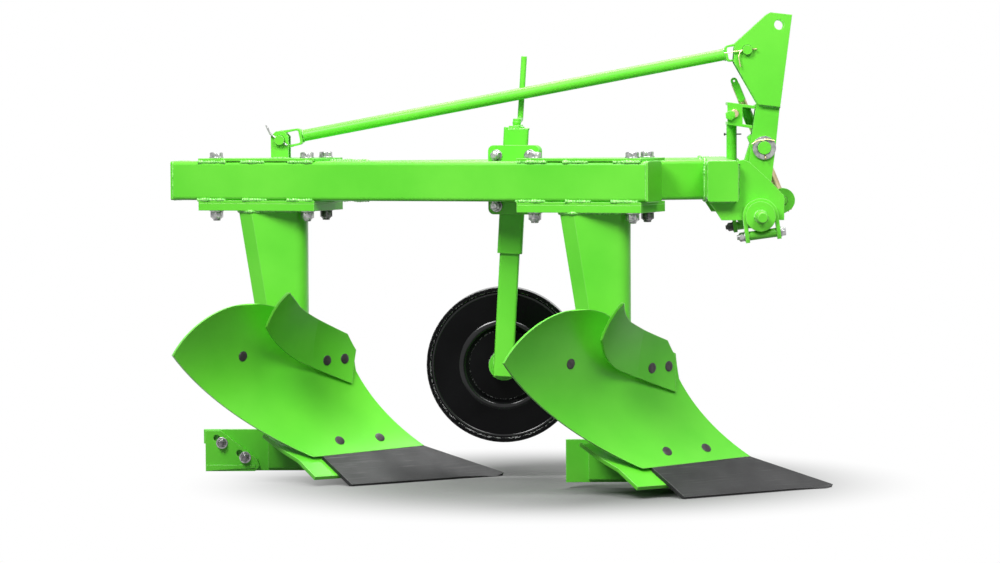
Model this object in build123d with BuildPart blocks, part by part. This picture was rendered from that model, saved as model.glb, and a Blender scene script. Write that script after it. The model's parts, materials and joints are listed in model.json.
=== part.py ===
from build123d import *
import math
import os

# Two-furrow mounted plough, millimetres, +Z up, +X the way it travels, +Y to its left.
# It stands on the ground-flat undersides of its two shares, with its beams level.
# Places are measured from a point near the rear share's tip; at() moves them so that the
# origin is the middle of the footprint, on the ground.

# ---- footprint ----
middle_x = -11.6           # footprint's middle, from the measuring point
middle_y = -7.15
share_ground = -4.0        # ground, below the level of the cutting edges' upper side

# ---- main frame ----
beam_size = 80.0
beam_wall = 6.0
beam_corner = 8.0
beam_height = 605.0        # middle of every beam above the share heels
beam_angle = -20.6         # main beam's heading, to the right of travel
beam_length = 1035.5
beam_x = -155.9            # a point on the main beam's middle line
beam_y = -84.6
beam_behind = 540.5        # from that point back to the beam's rear end
cap_corner = 4.0
cap_thick = 5.0
second_angle = 18.6        # second beam's heading, to the left of travel
second_aside = 542.516     # its middle line meets the cross tube's, from the tube's near end
link_width = 60.0
link_angle = 20.0
link_aside = 220.923       # as second_aside
cross_width = 60.0         # cross tube, along X
cross_ahead = 138.0        # its middle, ahead of the main beam's front end
cross_past = 6.2           # from the main beam's front end out to the cross tube's near end
cross_over = 8.0           # the tube's far end, past the far headstock plate

# ---- bodies ----
rear_plate_in = 190.0      # rear leg plate's middle, from the main beam's rear end
front_plate_in = 140.5     # front leg plate's middle, from its front end
plate_length = 262.0
plate_width = 160.0
plate_thick = 15.0
plate_corner = 20.0
plate_far_back = 12.0      # where the plate's slanting rear edge starts, from its middle
plate_near_back = -18.0
pad_thick = 6.0
leg_front_x = -395.0
leg_top_back_x = -535.0
leg_foot_back_x = -464.0
leg_near_y = 6.0
leg_far_y = 50.0
leg_bevel = 27.0           # cut off the near rear edge, along the leg's side and across its back
leg_bevel_deep = 18.0
leg_nose = 26.0            # radius the near front edge is rolled to
leg_foot_z = 96.0
leg_wall = 6.0

# share line: heading of the cutting edge, seen from above, and the slope of its face
share_angle = 35.0
share_slope = 32.0
share_edge_n = -34.5       # cutting edge, measured square to the share line
share_thick = 8.0
board_thick = 6.0

landside_near_y = 40.0
landside_thick = 10.0
landside_long_x = -613.0   # rear end of the rear body's landside, and of the front body's
landside_short_x = -525.0
landside_front_x = -66.0
landside_low = 8.0
landside_height = 85.0
landside_notch = 14.0      # the rear one's lower rear end is cut back behind the heel plate
landside_notch_high = 56.0
heel_thick = 8.0
heel_low = 7.5
heel_top = 91.0
heel_slot_long = 30.0
heel_slot_width = 13.0
heel_slot_angle = -45.0
frog_thick = 8.0
frog_seat_back = -325.0    # folded seat, along the share line
frog_seat_long = 170.0
frog_rib_x = -320.0
stay_x = -462.0
stay_z = 250.0
stay_thick = 8.0
stay_height = 40.0
stay_long = 120.0          # cut off where it meets the mouldboard
stay_angle = -113.5

# ---- hitch; *_ahead is measured from the cross tube's middle, *_rise from the beams' ----
hitch_ahead = 73.5         # cross shaft's axis
hitch_rise = -69.0
shaft_radius = 25.0
bore_gap = 0.05            # round a turning shaft, in its bore
head_thick = 12.0
near_plate_in = 18.0       # near side of each headstock plate, from the tube's near end
crank_gap = 5.0            # between the far headstock plate and the far hitch crank
strap_gap = 2.0            # between shaft and strap
strap_thick = 8.0
strap_wide = 22.0
strap_lean = 7.6
strap_leg = 48.4           # from the shaft's axis down to the strap's feet
spacer_radius = 9.0
spacer_drop = 35.5
flange_radius = 29.5
flange_thick = 6.0
flange_gap = 1.0           # between strap and flange
hitch_span = 683.0         # between the shoulders of the two hitch pins
hitch_pin_radius = 11.0
hitch_pin_length = 88.0
pin_chamfer = 2.0
crank_arm = 56.0           # far hitch pin's axis, from the shaft's
crank_angle = -4.0
crank_thick = 12.0
crank_boss = 29.0
crank_eye = 23.0
lever_arm = 67.0           # lever eye's axis, from the shaft's
lever_angle = 19.2
lever_thick = 8.0
lever_boss = 36.0
lever_eye = 25.0
lever_fork = 16.0          # between the lever's two cheeks
lever_pin_radius = 9.0
lever_pin_head = 4.0
screw_aside = 63.5         # plane of the adjusting screw, left of the mast's middle
screw_radius = 8.0
screw_top_ahead = 38.5
screw_top_rise = 195.0
screw_eye_wide = 13.0
screw_eye_wall = 7.0
screw_eye_gap = 1.6        # round the lever's pin
handle_long = 53.0
handle_wide = 14.0
handle_hole = 2.2
handle_thick = 6.0
handle_up = 12.0           # past the screw's end
nut_radius = 11.0
nut_gap = 0.5
nut_cut = 60.0
bracket_thick = 6.0
bracket_back_ahead = 20.0
bracket_top_rise = 156.0   # rear edges of the bracket's two shelves
bracket_low_rise = 116.0
bracket_top_ahead = 77.0   # where they meet the mast arms
bracket_low_ahead = 71.0
bracket_fall = 8.0
bracket_cheek = 31.0
strut_ahead = 31.0
strut_aside = 43.5
strut_radius = 10.75
strut_wall = 2.5

# ---- mast and brace ----
foot_gap = 12.0            # between the mast's two foot lugs
foot_thick = 11.7
arm_gap = 36.0             # between its two arms
plate_gap = 56.0           # between its two upper plates
mast_thick = 10.0
top_link_ahead = 125.5
top_link_rise = 313.0
top_link_radius = 10.25
mast_pin_ahead = 95.0
mast_pin_rise = 62.3
mast_pin_radius = 13.5
mast_washer_radius = 23.6
mast_washer_thick = 4.0
mast_pin_out = 14.0
mast_join_ahead = 83.4     # rear corner where the upper plates end on the arms
mast_join_rise = 150.6
# mast arm's outline: corners by the join, then by the pin's hole, each ahead and up from it
arm_join_corners = ((-5.6, -7.1), (5.1, 34.4), (48.1, 34.4), (43.5, -5.3))
arm_pin_corners = ((22.5, -5.3), (13.5, -77.3), (-35.5, -77.3), (-30.5, -25.3), (-25.5, 25.7))
brace_radius = 12.0
brace_wall = 3.0
brace_pin_radius = 10.0
brace_pin_out = 9.0
brace_front_ahead = 60.5
brace_front_rise = 262.0
brace_rear_x = -448.2
brace_rear_y = 29.0
brace_rear_rise = 83.0
clevis_gap = 42.0
clevis_thick = 8.0
clevis_width = 36.0
clevis_corner = 10.0
clevis_rise = 101.0
eye_wide = 38.0
eye_radius = 19.0
eye_long = 45.0
eye_wall = 5.0
eye_shoulder = 8.0         # round its end on the tube
eye_window = 4.0

# ---- depth wheel ----
clamp_behind = 169.3       # clamp plates' middle, from the front leg plate's, back along the beam
clamp_long = 110.5
clamp_low_rise = -67.5
clamp_high_rise = 71.5
clamp_thick = 8.0
clamp_corner = 12.0
gusset_thick = 8.0
arm_behind = 193.7         # a point on the arm's middle line, from the front leg plate's middle
arm_aside = 89.9           # left of the beam's middle line
arm_rise = -72.4
arm_lean = 3.36            # top forward
arm_size = 50.0
arm_wall = 4.0
arm_corner = 5.0
arm_low = -75.0            # outer tube's ends, along the arm from that point
arm_high = 168.0
arm_cap = 11.0
slide_size = 40.0
slide_wall = 4.0
slide_corner = 4.5
slide_top = 60.0
slide_low = -323.5
axle_drop = -304.0
axle_radius = 14.0
axle_flange_radius = 31.0
axle_flange_thick = 10.0
axle_end = 10.0
wheel_gap = 1.0            # between flange and wheel hub
wheel_radius = 158.0
wheel_width = 56.0
wheel_rim = 8.0
wheel_lip = 5.0
wheel_step = 81.0          # radius where the dish turns in
wheel_dish = 10.0
wheel_web = 6.0
hub_radius = 31.0
washer_radius = 16.0
washer_thick = 3.0
crank_rod_radius = 6.0
crank_boss_high = 18.0
crank_beside = 26.3        # crank handle, left of the brace
crank_foot_ahead = 15.1    # ahead of the arm's point
crank_foot_rise = 122.4
crank_top_ahead = 23.7
crank_top_rise = 252.0

os.makedirs("parts", exist_ok=True)

up = (0, 0, 1)
beam_top = beam_height + beam_size / 2
beam_low = beam_height - beam_size / 2
body_pitch = beam_length - rear_plate_in - front_plate_in
rear_leg_along = rear_plate_in - beam_behind
cross_x = beam_x + (beam_length - beam_behind) * math.cos(math.radians(beam_angle)) + cross_ahead
cross_near_y = beam_y + (beam_length - beam_behind) * math.sin(math.radians(beam_angle)) - cross_past
near_plate_y = cross_near_y + near_plate_in
flange_y = near_plate_y - strap_wide - flange_gap
near_shoulder_y = flange_y - flange_thick
far_shoulder_y = near_shoulder_y + hitch_span
crank_y = far_shoulder_y - crank_thick
far_plate_y = crank_y - crank_gap - head_thick
cross_length = far_plate_y + head_thick + cross_over - cross_near_y
mast_y = cross_near_y + cross_length / 2
screw_y = mast_y + screw_aside
strut_y = mast_y + strut_aside
hitch_x = cross_x + hitch_ahead
hitch_z = beam_height + hitch_rise
screw_top_x = cross_x + screw_top_ahead
screw_top_z = beam_height + screw_top_rise
bracket_back_x = cross_x + bracket_back_ahead
bracket_top_x = cross_x + bracket_top_ahead
bracket_low_x = cross_x + bracket_low_ahead
bracket_top_z = beam_height + bracket_top_rise
bracket_low_z = beam_height + bracket_low_rise
top_link_x = cross_x + top_link_ahead
top_link_z = beam_height + top_link_rise
mast_pin_x = cross_x + mast_pin_ahead
mast_pin_z = beam_height + mast_pin_rise
brace_front_x = cross_x + brace_front_ahead
brace_front_z = beam_height + brace_front_rise
brace_rear_z = beam_height + brace_rear_rise
front_plate_along = rear_leg_along + body_pitch
clamp_mid = front_plate_along - clamp_behind
clamp_low = beam_height + clamp_low_rise
clamp_high = beam_height + clamp_high_rise
arm_turn = math.radians(beam_angle)
arm_along = front_plate_along - arm_behind
arm_x = beam_x + arm_along * math.cos(arm_turn) - arm_aside * math.sin(arm_turn)
arm_y = beam_y + arm_along * math.sin(arm_turn) + arm_aside * math.cos(arm_turn)
arm_z = beam_height + arm_rise
brace_aside = mast_y - brace_rear_y
crank_share = (arm_x - brace_rear_x) / (brace_front_x - brace_rear_x)
crank_reach_y = brace_rear_y + brace_aside * crank_share + crank_beside


def at(x, y, z, x_dir=(1, 0, 0), z_dir=up):
    """Plane at a place given from the measuring point, in the plough's own frame."""
    return Plane(origin=(x - middle_x, y - middle_y, z - share_ground), x_dir=x_dir, z_dir=z_dir)


def side(y, x=0, z=0, turn=0):
    """Upright plane along the travel, x forward and y up, leaned back by turn; it faces right."""
    tilt = math.radians(turn)
    return at(x, y, z, x_dir=(math.cos(tilt), 0, math.sin(tilt)), z_dir=(0, -1, 0))


def head(y):
    """Upright plane like side(), measured ahead of the cross tube's middle and up from it."""
    return side(y, cross_x, beam_height)


def heading(angle):
    return (math.cos(math.radians(angle)), math.sin(math.radians(angle)), 0)


def along_beam(distance, aside, z):
    """A point beside the main beam: distance forward along it, aside to its left."""
    ahead = heading(beam_angle)
    left = heading(beam_angle + 90)
    return (beam_x + distance * ahead[0] + aside * left[0],
            beam_y + distance * ahead[1] + aside * left[1], z)


def box_tube(width, height, wall, corner):
    RectangleRounded(width, height, corner)
    RectangleRounded(width - 2 * wall, height - 2 * wall, corner - wall, mode=Mode.SUBTRACT)


def write(piece, name):
    piece.part.label = name
    export_step(piece.part, "parts/" + name + ".step")


# ---------------------------------------------------------------- main frame
left_of_beam = heading(beam_angle + 90)
rear_end = along_beam(-beam_behind, 0, beam_height)
front_end = along_beam(beam_length - beam_behind, 0, beam_height)
far_face = at(*along_beam(0, beam_size / 2, beam_height),
              x_dir=heading(beam_angle), z_dir=left_of_beam)

with BuildPart() as main_beam:
    with BuildSketch(at(*rear_end, x_dir=left_of_beam, z_dir=heading(beam_angle))):
        box_tube(beam_size, beam_size, beam_wall, beam_corner)
    extrude(amount=beam_length)
write(main_beam, "main_beam")

for name, place, amount in (
    ("rear_beam_cap", rear_end, -cap_thick),
    ("front_beam_cap", front_end, cap_thick),
):
    with BuildPart() as cap:
        with BuildSketch(at(*place, x_dir=left_of_beam, z_dir=heading(beam_angle))):
            RectangleRounded(beam_size, beam_size, cap_corner)
        extrude(amount=amount)
    write(cap, name)

cross_back = at(cross_x - cross_width / 2, 0, beam_height, x_dir=(0, 1, 0), z_dir=(1, 0, 0))
for name, aside, angle, width in (
    ("second_beam", second_aside, second_angle, beam_size),
    ("link_beam", link_aside, link_angle, link_width),
):
    with BuildPart() as brace_beam:
        with BuildSketch(at(cross_x, cross_near_y + aside, beam_height, x_dir=heading(angle + 90),
                            z_dir=heading(angle))):
            box_tube(width, beam_size, beam_wall, beam_corner)
        extrude(amount=beam_length, both=True)
        split(bisect_by=far_face, keep=Keep.TOP)
        split(bisect_by=cross_back, keep=Keep.BOTTOM)
    write(brace_beam, name)

with BuildPart() as cross_tube:
    with BuildSketch(at(cross_x, cross_near_y, beam_height, x_dir=(-1, 0, 0), z_dir=(0, 1, 0))):
        box_tube(cross_width, beam_size, beam_wall, beam_corner)
    extrude(amount=cross_length)
write(cross_tube, "cross_tube")

for name, y, amount in (
    ("near_cross_cap", cross_near_y, -cap_thick),
    ("far_cross_cap", cross_near_y + cross_length, cap_thick),
):
    with BuildPart() as cap:
        with BuildSketch(at(cross_x, y, beam_height, x_dir=(-1, 0, 0), z_dir=(0, 1, 0))):
            RectangleRounded(cross_width, beam_size, cap_corner)
        extrude(amount=amount)
    write(cap, name)

# ---------------------------------------------------------------- plough bodies
ahead = heading(beam_angle)
line = heading(share_angle)                    # along the cutting edge, towards its point
face = heading(share_angle - 90)               # square to it, out over the furrow
slope_up = (-face[0] * math.cos(math.radians(share_slope)),
            -face[1] * math.cos(math.radians(share_slope)), math.sin(math.radians(share_slope)))
slope_out = (face[0] * math.sin(math.radians(share_slope)),
             face[1] * math.sin(math.radians(share_slope)), math.cos(math.radians(share_slope)))

# Section arcs of the curved plates, square to the share line: where along it, then three
# points of the working face as (out over the furrow, height).
board_sections = (
    # along, low, middle, high
    (20.0, (-117.0, 51.0), (-232.5, 169.0), (-283.4, 365.0)),
    (-720.0, (-117.0, 51.0), (-158.0, 175.0), (-86.0, 360.0)),
)
trash_sections = (
    (20.0, (-222.3, 160.3), (-274.9, 298.5), (-265.1, 446.1)),
    (-330.0, (-189.5, 163.7), (-176.3, 306.3), (-86.8, 418.1)),
    (-520.0, (-169.6, 164.5), (-99.0, 314.2), (44.0, 397.5)),
)
# Trashboard outlines along the share line and up: the curved lower edge, from the front end of
# its straight run by the middle of the curve to its rear end, and the corners after it.
trash_outlines = {
    "rear": (((-356, 235), (-420, 269), (-475, 310)),
             ((-484, 318), (-488, 390), (-456, 379), (-431, 368), (-408, 356), (-371, 340),
              (-321, 321), (-240, 290), (-214, 255), (-229, 187))),
    "front": (((-366, 232), (-417, 256), (-452, 293)),
              ((-462, 303), (-468, 379), (-440, 363), (-415, 348), (-388, 335), (-316, 311),
               (-253, 291), (-226, 257), (-229, 187))),
}
board_outline = (
    # start, middle and end of each side; a straight side has no middle
    ((-105, 58.5), None, (-375, 50.8)),
    ((-375, 50.8), (-533, 146.5), (-673, 266)),
    ((-673, 266), (-618, 331), (-530, 362.5)),
    ((-530, 362.5), (-478, 362), (-428, 353)),
    ((-428, 353), None, (-213, 262)),
    ((-213, 262), None, (-211, 212)),
    ((-211, 212), (-167, 135), (-105, 58.5)),
)
share_outline = ((-335, 0), (-70, 0), (-20, -3), (5, -9), (32, 4), (-105, 110), (-353, 96.5))

# Frog plates: the web from the side, the folded seat square to the share line, its flat tail
# in the share's slope, the base under the leg from above and the rib between them from behind.
leg_stand = leg_foot_z - 2
frog_web = ((-480, 14), (-95, 14), (-200, 50), (-285, leg_foot_z), (-480, leg_foot_z))
frog_seat = ((68.4, 11.8), (123.5, 46.2), (130, 46.2), (183, 97), (188.5, 91.5), (141, 46),
             (176, 12), (170, 7), (127, 44), (126, 35), (73, 4))
frog_tails = {
    "rear": ((-396, 42), (-300, 42), (-300, 96), (-350, 116), (-415, 184), (-443, 191),
             (-423, 135), (-405, 101)),
    "front": ((-412, 51), (-300, 51), (-300, 105), (-366, 125), (-431, 193), (-459, 200),
              (-439, 144), (-421, 110)),
}
frog_base = ((-480, -34), (-350, -34), (-285, 0), (-285, landside_near_y), (-480, landside_near_y))
frog_rib = ((landside_near_y, 20), (-20, 20), (-48, 60), (-20, leg_stand), (landside_near_y, leg_stand))


def share_plane(body, along, out, height, x_dir=face, z_dir=line):
    return at(body[0] + along * line[0] + out * face[0], body[1] + along * line[1] + out * face[1],
              height, x_dir=x_dir, z_dir=z_dir)


def section_plane(body, along):
    """Upright plane square to the share line, out over the furrow and up."""
    return share_plane(body, along, 0, 0, x_dir=face, z_dir=(-line[0], -line[1], 0))


def slope_plane(body, below):
    """Plane of the share's face, or below it: along the cutting edge, and up the slope from it."""
    lowered = tuple(-below * part for part in slope_out)
    return at(body[0] + share_edge_n * face[0] + lowered[0], body[1] + share_edge_n * face[1] + lowered[1],
              lowered[2], x_dir=line, z_dir=slope_out)


def curved_strip(low, middle, high, thick):
    """Face arc through three points and its copy thick behind it, closed at both ends."""
    front = ThreePointArc(low, middle, high)
    centre = front.arc_center
    grow = (front.radius + thick) / front.radius
    back = [centre + (Vector(*p) - centre) * grow for p in (low, middle, high)]
    ThreePointArc(*back)
    Line(low, back[0])
    Line(high, back[2])


leg_top_z = beam_low - pad_thick - plate_thick


def plate_outline():
    """Three-bolt plate: its near side along the beam, its far rear corner cut away."""
    Polyline((-plate_length / 2, -plate_width / 2), (plate_length / 2, -plate_width / 2),
             (plate_length / 2, plate_width / 2 - plate_corner),
             (plate_length / 2 - plate_corner, plate_width / 2), (plate_far_back, plate_width / 2),
             (-plate_length / 2, plate_near_back), close=True)


def leg_outline(back_x, wall):
    """Level section of the leg, its near rear corner cut and its near front one rolled."""
    nose = leg_nose - wall
    near = leg_near_y + wall
    far = leg_far_y - wall
    back = back_x + wall
    front = leg_front_x - wall
    Polyline((front, near + nose), (front, far), (back, far), (back, near + leg_bevel_deep),
             (back + leg_bevel, near), (front - nose, near))
    JernArc(start=(front - nose, near), tangent=(1, 0), radius=nose, arc_size=90)


for body_name, body_number, landside_back_x in (
    ("rear", 0, landside_long_x),
    ("front", 1, landside_short_x),
):
    step = body_pitch * body_number
    body = (step * ahead[0], step * ahead[1])          # this body's place, from the rear one
    plate_mid = rear_leg_along + step
    plate_aside = plate_width / 2 - beam_size / 2

    with BuildPart() as pads:
        for height in (beam_low - pad_thick, beam_top):
            with BuildSketch(at(*along_beam(plate_mid, plate_aside, height), x_dir=ahead)):
                with BuildLine():
                    plate_outline()
                make_face()
            extrude(amount=pad_thick)
    write(pads, body_name + "_pads")

    with BuildPart() as leg_plate:
        with BuildSketch(at(*along_beam(plate_mid, plate_aside, leg_top_z), x_dir=ahead)):
            with BuildLine():
                plate_outline()
            make_face()
        extrude(amount=plate_thick)
    write(leg_plate, body_name + "_leg_plate")

    # hollow leg: upright front, raked back, the near rear corner cut off along its height
    with BuildPart() as leg:
        for wall, mode in ((0, Mode.ADD), (leg_wall, Mode.SUBTRACT)):
            for height, back_x in ((leg_top_z, leg_top_back_x), (leg_foot_z, leg_foot_back_x)):
                with BuildSketch(at(body[0], body[1], height)):
                    with BuildLine():
                        leg_outline(back_x, wall)
                    make_face()
            loft(ruled=True, mode=mode)
    write(leg, body_name + "_leg")

    # mouldboard: the sections joined by straight level lines, cut to its outline
    with BuildPart() as mouldboard:
        for along, low, middle, high in board_sections:
            with BuildSketch(section_plane(body, along)):
                with BuildLine():
                    curved_strip(low, middle, high, board_thick)
                make_face()
        loft(ruled=True)
        with BuildSketch(share_plane(body, 0, 0, 0, x_dir=line, z_dir=face)):
            with BuildLine():
                for start, middle, end in board_outline:
                    if middle:
                        ThreePointArc(start, middle, end)
                    else:
                        Line(start, end)
            make_face()
        extrude(amount=500, both=True, mode=Mode.INTERSECT)
    write(mouldboard, body_name + "_mouldboard")

    with BuildPart() as trashboard:
        for along, low, middle, high in trash_sections:
            with BuildSketch(section_plane(body, along)):
                with BuildLine():
                    curved_strip(low, middle, high, board_thick)
                make_face()
        loft(ruled=True)
        with BuildSketch(share_plane(body, 0, 0, 0, x_dir=line, z_dir=face)):
            curve, corners = trash_outlines[body_name]
            with BuildLine():
                ThreePointArc(*curve)
                Polyline(curve[2], *corners, curve[0])
            make_face()
        extrude(amount=500, both=True, mode=Mode.INTERSECT)
    write(trashboard, body_name + "_trashboard")

    # share: flat plate on the slope, its underside ground flat where it meets the soil
    with BuildPart() as share:
        with BuildSketch(slope_plane(body, 0)):
            with BuildLine():
                Polyline(*share_outline, close=True)
            make_face()
        extrude(amount=-share_thick)
        split(bisect_by=at(0, 0, share_ground), keep=Keep.TOP)
    write(share, body_name + "_share")

    # landside: its front end is cut to the slope of the share and mouldboard
    with BuildPart() as landside:
        with BuildSketch(side(body[1] + landside_near_y, body[0])):
            with BuildLine():
                Polyline((landside_back_x, landside_low), (landside_front_x, landside_low),
                         (landside_front_x - 105, 50),
                         (landside_front_x - 195, landside_low + landside_height),
                         (landside_back_x, landside_low + landside_height), close=True)
            make_face()
        extrude(amount=-landside_thick)
        if body_name == "rear":
            with BuildSketch(side(body[1] + landside_near_y, landside_back_x + landside_notch / 2,
                                  landside_low + landside_notch_high / 2)):
                Rectangle(landside_notch, landside_notch_high)
            extrude(amount=-landside_thick, mode=Mode.SUBTRACT)
    write(landside, body_name + "_landside")

    # frog: web beside the landside, folded seat under the share and its flat tail under the
    # mouldboard's lower edge, a base plate that the leg stands on and a rib between them
    with BuildPart() as frog:
        with BuildSketch(side(body[1] + landside_near_y, body[0])):
            with BuildLine():
                Polyline(*frog_web, close=True)
            make_face()
        extrude(amount=frog_thick)
        with BuildSketch(share_plane(body, frog_seat_back, 0, 0, x_dir=(-face[0], -face[1], 0),
                                     z_dir=line)):
            with BuildLine():
                Polyline(*frog_seat, close=True)
            make_face()
        extrude(amount=frog_seat_long)
        with BuildSketch(slope_plane(body, share_thick)):
            with BuildLine():
                Polyline(*frog_tails[body_name], close=True)
            make_face()
        extrude(amount=-frog_thick)
        with BuildSketch(at(body[0], body[1], leg_foot_z)):
            with BuildLine():
                Polyline(*frog_base, close=True)
            make_face()
        extrude(amount=-frog_thick)
        with BuildSketch(at(body[0] + frog_rib_x, body[1], 0, x_dir=(0, 1, 0), z_dir=(1, 0, 0))):
            with BuildLine():
                Polyline(*frog_rib, close=True)
            make_face()
        extrude(amount=frog_thick)
        add(share.part, mode=Mode.SUBTRACT)
        add(mouldboard.part, mode=Mode.SUBTRACT)
        split(bisect_by=side(body[1] + landside_near_y, body[0]), keep=Keep.TOP)
    write(frog, body_name + "_frog")

    # stay: flat bar from the leg to the back of the mouldboard's wing
    stay_dir = heading(stay_angle)
    with BuildPart() as stay:
        with BuildSketch(at(body[0] + stay_x, body[1] + leg_near_y, stay_z,
                            x_dir=(-stay_dir[1], stay_dir[0], 0), z_dir=stay_dir)):
            Rectangle(stay_thick, stay_height)
        extrude(amount=stay_long)
        split(bisect_by=side(body[1] + leg_near_y), keep=Keep.TOP)
        add(mouldboard.part, mode=Mode.SUBTRACT)
    write(stay, body_name + "_stay")

# heel plate: bolted to the near side of the rear landside through two slanting slots
with BuildPart() as heel_plate:
    with BuildSketch(side(landside_near_y, landside_long_x)):
        with BuildLine():
            Polyline((4, heel_low), (106, heel_low), (115, heel_low + 10), (111, heel_low + 24),
                     (36, heel_top), (4, heel_top), close=True)
        make_face()
        for slot_x, slot_z in ((33, 70), (80, 39)):
            with Locations(Location((slot_x, slot_z), heel_slot_angle)):
                SlotOverall(heel_slot_long, heel_slot_width, mode=Mode.SUBTRACT)
    extrude(amount=heel_thick)
write(heel_plate, "rear_heel_plate")

# ---------------------------------------------------------------- headstock
tube_front = cross_width / 2           # from the cross tube's middle
for name, y in (("near_headstock_plate", near_plate_y), ("far_headstock_plate", far_plate_y)):
    with BuildPart() as headstock_plate:
        with BuildSketch(head(y)):
            with BuildLine():
                Polyline((tube_front, -beam_size / 2), (tube_front, beam_size / 2),
                         (tube_front + 11.5, beam_size / 2 + 2), (tube_front + 23.5, beam_size / 2 - 3),
                         (hitch_ahead + 21, -1), (hitch_ahead + 48, -30),
                         (hitch_ahead + 47, hitch_rise - 8), (hitch_ahead - 76, hitch_rise - 8),
                         (hitch_ahead - 85, hitch_rise + 6), (3 - tube_front, -beam_size / 2),
                         close=True)
            make_face()
            with Locations((hitch_ahead, hitch_rise)):
                Circle(shaft_radius + bore_gap, mode=Mode.SUBTRACT)
        extrude(amount=-head_thick)
    write(headstock_plate, name)

# straps hung over the cross shaft, each held open below by a spacer
strap_inner = shaft_radius + strap_gap
strap_outer = strap_inner + strap_thick
for name, y in (("near_strap", near_plate_y - strap_wide), ("far_strap", far_plate_y - strap_wide)):
    with BuildPart() as strap:
        with BuildSketch(side(y, hitch_x, hitch_z, turn=strap_lean)):
            with BuildLine():
                ThreePointArc((-strap_inner, 0), (0, strap_inner), (strap_inner, 0))
                Polyline((strap_inner, 0), (strap_inner, -strap_leg), (strap_outer, -strap_leg),
                         (strap_outer, 0))
                ThreePointArc((strap_outer, 0), (0, strap_outer), (-strap_outer, 0))
                Polyline((-strap_outer, 0), (-strap_outer, -strap_leg), (-strap_inner, -strap_leg),
                         (-strap_inner, 0))
            make_face()
        extrude(amount=-strap_wide)
        spacer_end = side(y + strap_wide / 2, hitch_x, hitch_z, turn=strap_lean)
        with BuildSketch(Plane(origin=spacer_end.from_local_coords((-strap_inner, -spacer_drop, 0)),
                               x_dir=(0, 1, 0), z_dir=spacer_end.x_dir)):
            Circle(spacer_radius)
        extrude(amount=2 * strap_inner)
    write(strap, name)

# cross shaft with its near flange; it turns in the headstock plates
with BuildPart() as hitch_shaft:
    with BuildSketch(side(flange_y, hitch_x, hitch_z)):
        Circle(shaft_radius)
    extrude(amount=-(crank_y - flange_y))
    with BuildSketch(side(flange_y, hitch_x, hitch_z)):
        Circle(flange_radius)
    extrude(amount=flange_thick)
write(hitch_shaft, "hitch_shaft")

crank_x = hitch_x + crank_arm * math.cos(math.radians(crank_angle))
crank_z = hitch_z + crank_arm * math.sin(math.radians(crank_angle))
for name, x, y, z, outward in (
    ("near_hitch_pin", hitch_x, near_shoulder_y, hitch_z, -1),
    ("far_hitch_pin", crank_x, far_shoulder_y, crank_z, 1),
):
    with BuildPart() as hitch_pin:
        with BuildSketch(side(y, x, z)):
            Circle(hitch_pin_radius)
        extrude(amount=-outward * hitch_pin_length)
        tip = hitch_pin.faces().sort_by(Axis.Y)[0 if outward < 0 else -1]
        chamfer(tip.edges(), length=pin_chamfer)
    write(hitch_pin, name)


def link_plate(x, z, arm, angle, boss, eye):
    """Flat link from a boss at x, z to an eye on its arm."""
    with Locations((x, z)):
        Circle(boss)
    turn = math.radians(angle)
    with Locations((x + arm * math.cos(turn), z + arm * math.sin(turn))):
        Circle(eye)
    make_hull()


with BuildPart() as far_crank:
    with BuildSketch(side(crank_y)):
        link_plate(hitch_x, hitch_z, crank_arm, crank_angle, crank_boss, crank_eye)
    extrude(amount=-crank_thick)
write(far_crank, "far_hitch_crank")

# forked lever that the adjusting screw turns the shaft by
eye_x = hitch_x + lever_arm * math.cos(math.radians(lever_angle))
eye_z = hitch_z + lever_arm * math.sin(math.radians(lever_angle))
lever_near_y = screw_y - lever_fork / 2 - lever_thick
lever_far_y = screw_y + lever_fork / 2
with BuildPart() as lever:
    for y in (lever_near_y, lever_far_y):
        with BuildSketch(side(y)):
            link_plate(hitch_x, hitch_z, lever_arm, lever_angle, lever_boss, lever_eye)
            with Locations((hitch_x, hitch_z)):
                Circle(shaft_radius, mode=Mode.SUBTRACT)
        extrude(amount=-lever_thick)
    with BuildSketch(side(lever_near_y - lever_pin_head, eye_x, eye_z)):
        Circle(lever_pin_radius)
    extrude(amount=-(lever_fork + 2 * lever_thick + 2 * lever_pin_head))
write(lever, "hitch_lever")

# adjusting screw: it slides in its nut, its eye opened round the lever's pin
screw_run = math.hypot(screw_top_x - eye_x, screw_top_z - eye_z)
screw_dir = ((screw_top_x - eye_x) / screw_run, 0, (screw_top_z - eye_z) / screw_run)
screw_eye_inner = lever_pin_radius + screw_eye_gap


def on_screw(along, x_dir=(0, 1, 0), z_dir=screw_dir):
    return at(eye_x + along * screw_dir[0], screw_y, eye_z + along * screw_dir[2], x_dir=x_dir, z_dir=z_dir)


with BuildPart() as screw_rod:
    with BuildSketch(side(screw_y - screw_eye_wide / 2, eye_x, eye_z)):
        Circle(screw_eye_inner + screw_eye_wall)
    extrude(amount=-screw_eye_wide)
    with BuildSketch(on_screw(0)):
        Circle(screw_radius)
    extrude(amount=screw_run)
    with BuildSketch(side(screw_y - lever_fork / 2, eye_x, eye_z)):
        Circle(screw_eye_inner)
    extrude(amount=-lever_fork, mode=Mode.SUBTRACT)
write(screw_rod, "screw_rod")

with BuildPart() as screw_handle:
    handle_mid = on_screw(screw_run - handle_long / 2 + handle_up).origin
    handle_plane = Plane(origin=handle_mid, x_dir=screw_dir, z_dir=(0, -1, 0))
    with BuildSketch(handle_plane.offset(screw_radius)):
        SlotOverall(handle_long, handle_wide)
        with Locations((handle_long / 2 - handle_wide / 2, 0)):
            Circle(handle_hole, mode=Mode.SUBTRACT)
    extrude(amount=handle_thick)
write(screw_handle, "screw_handle")

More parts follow.
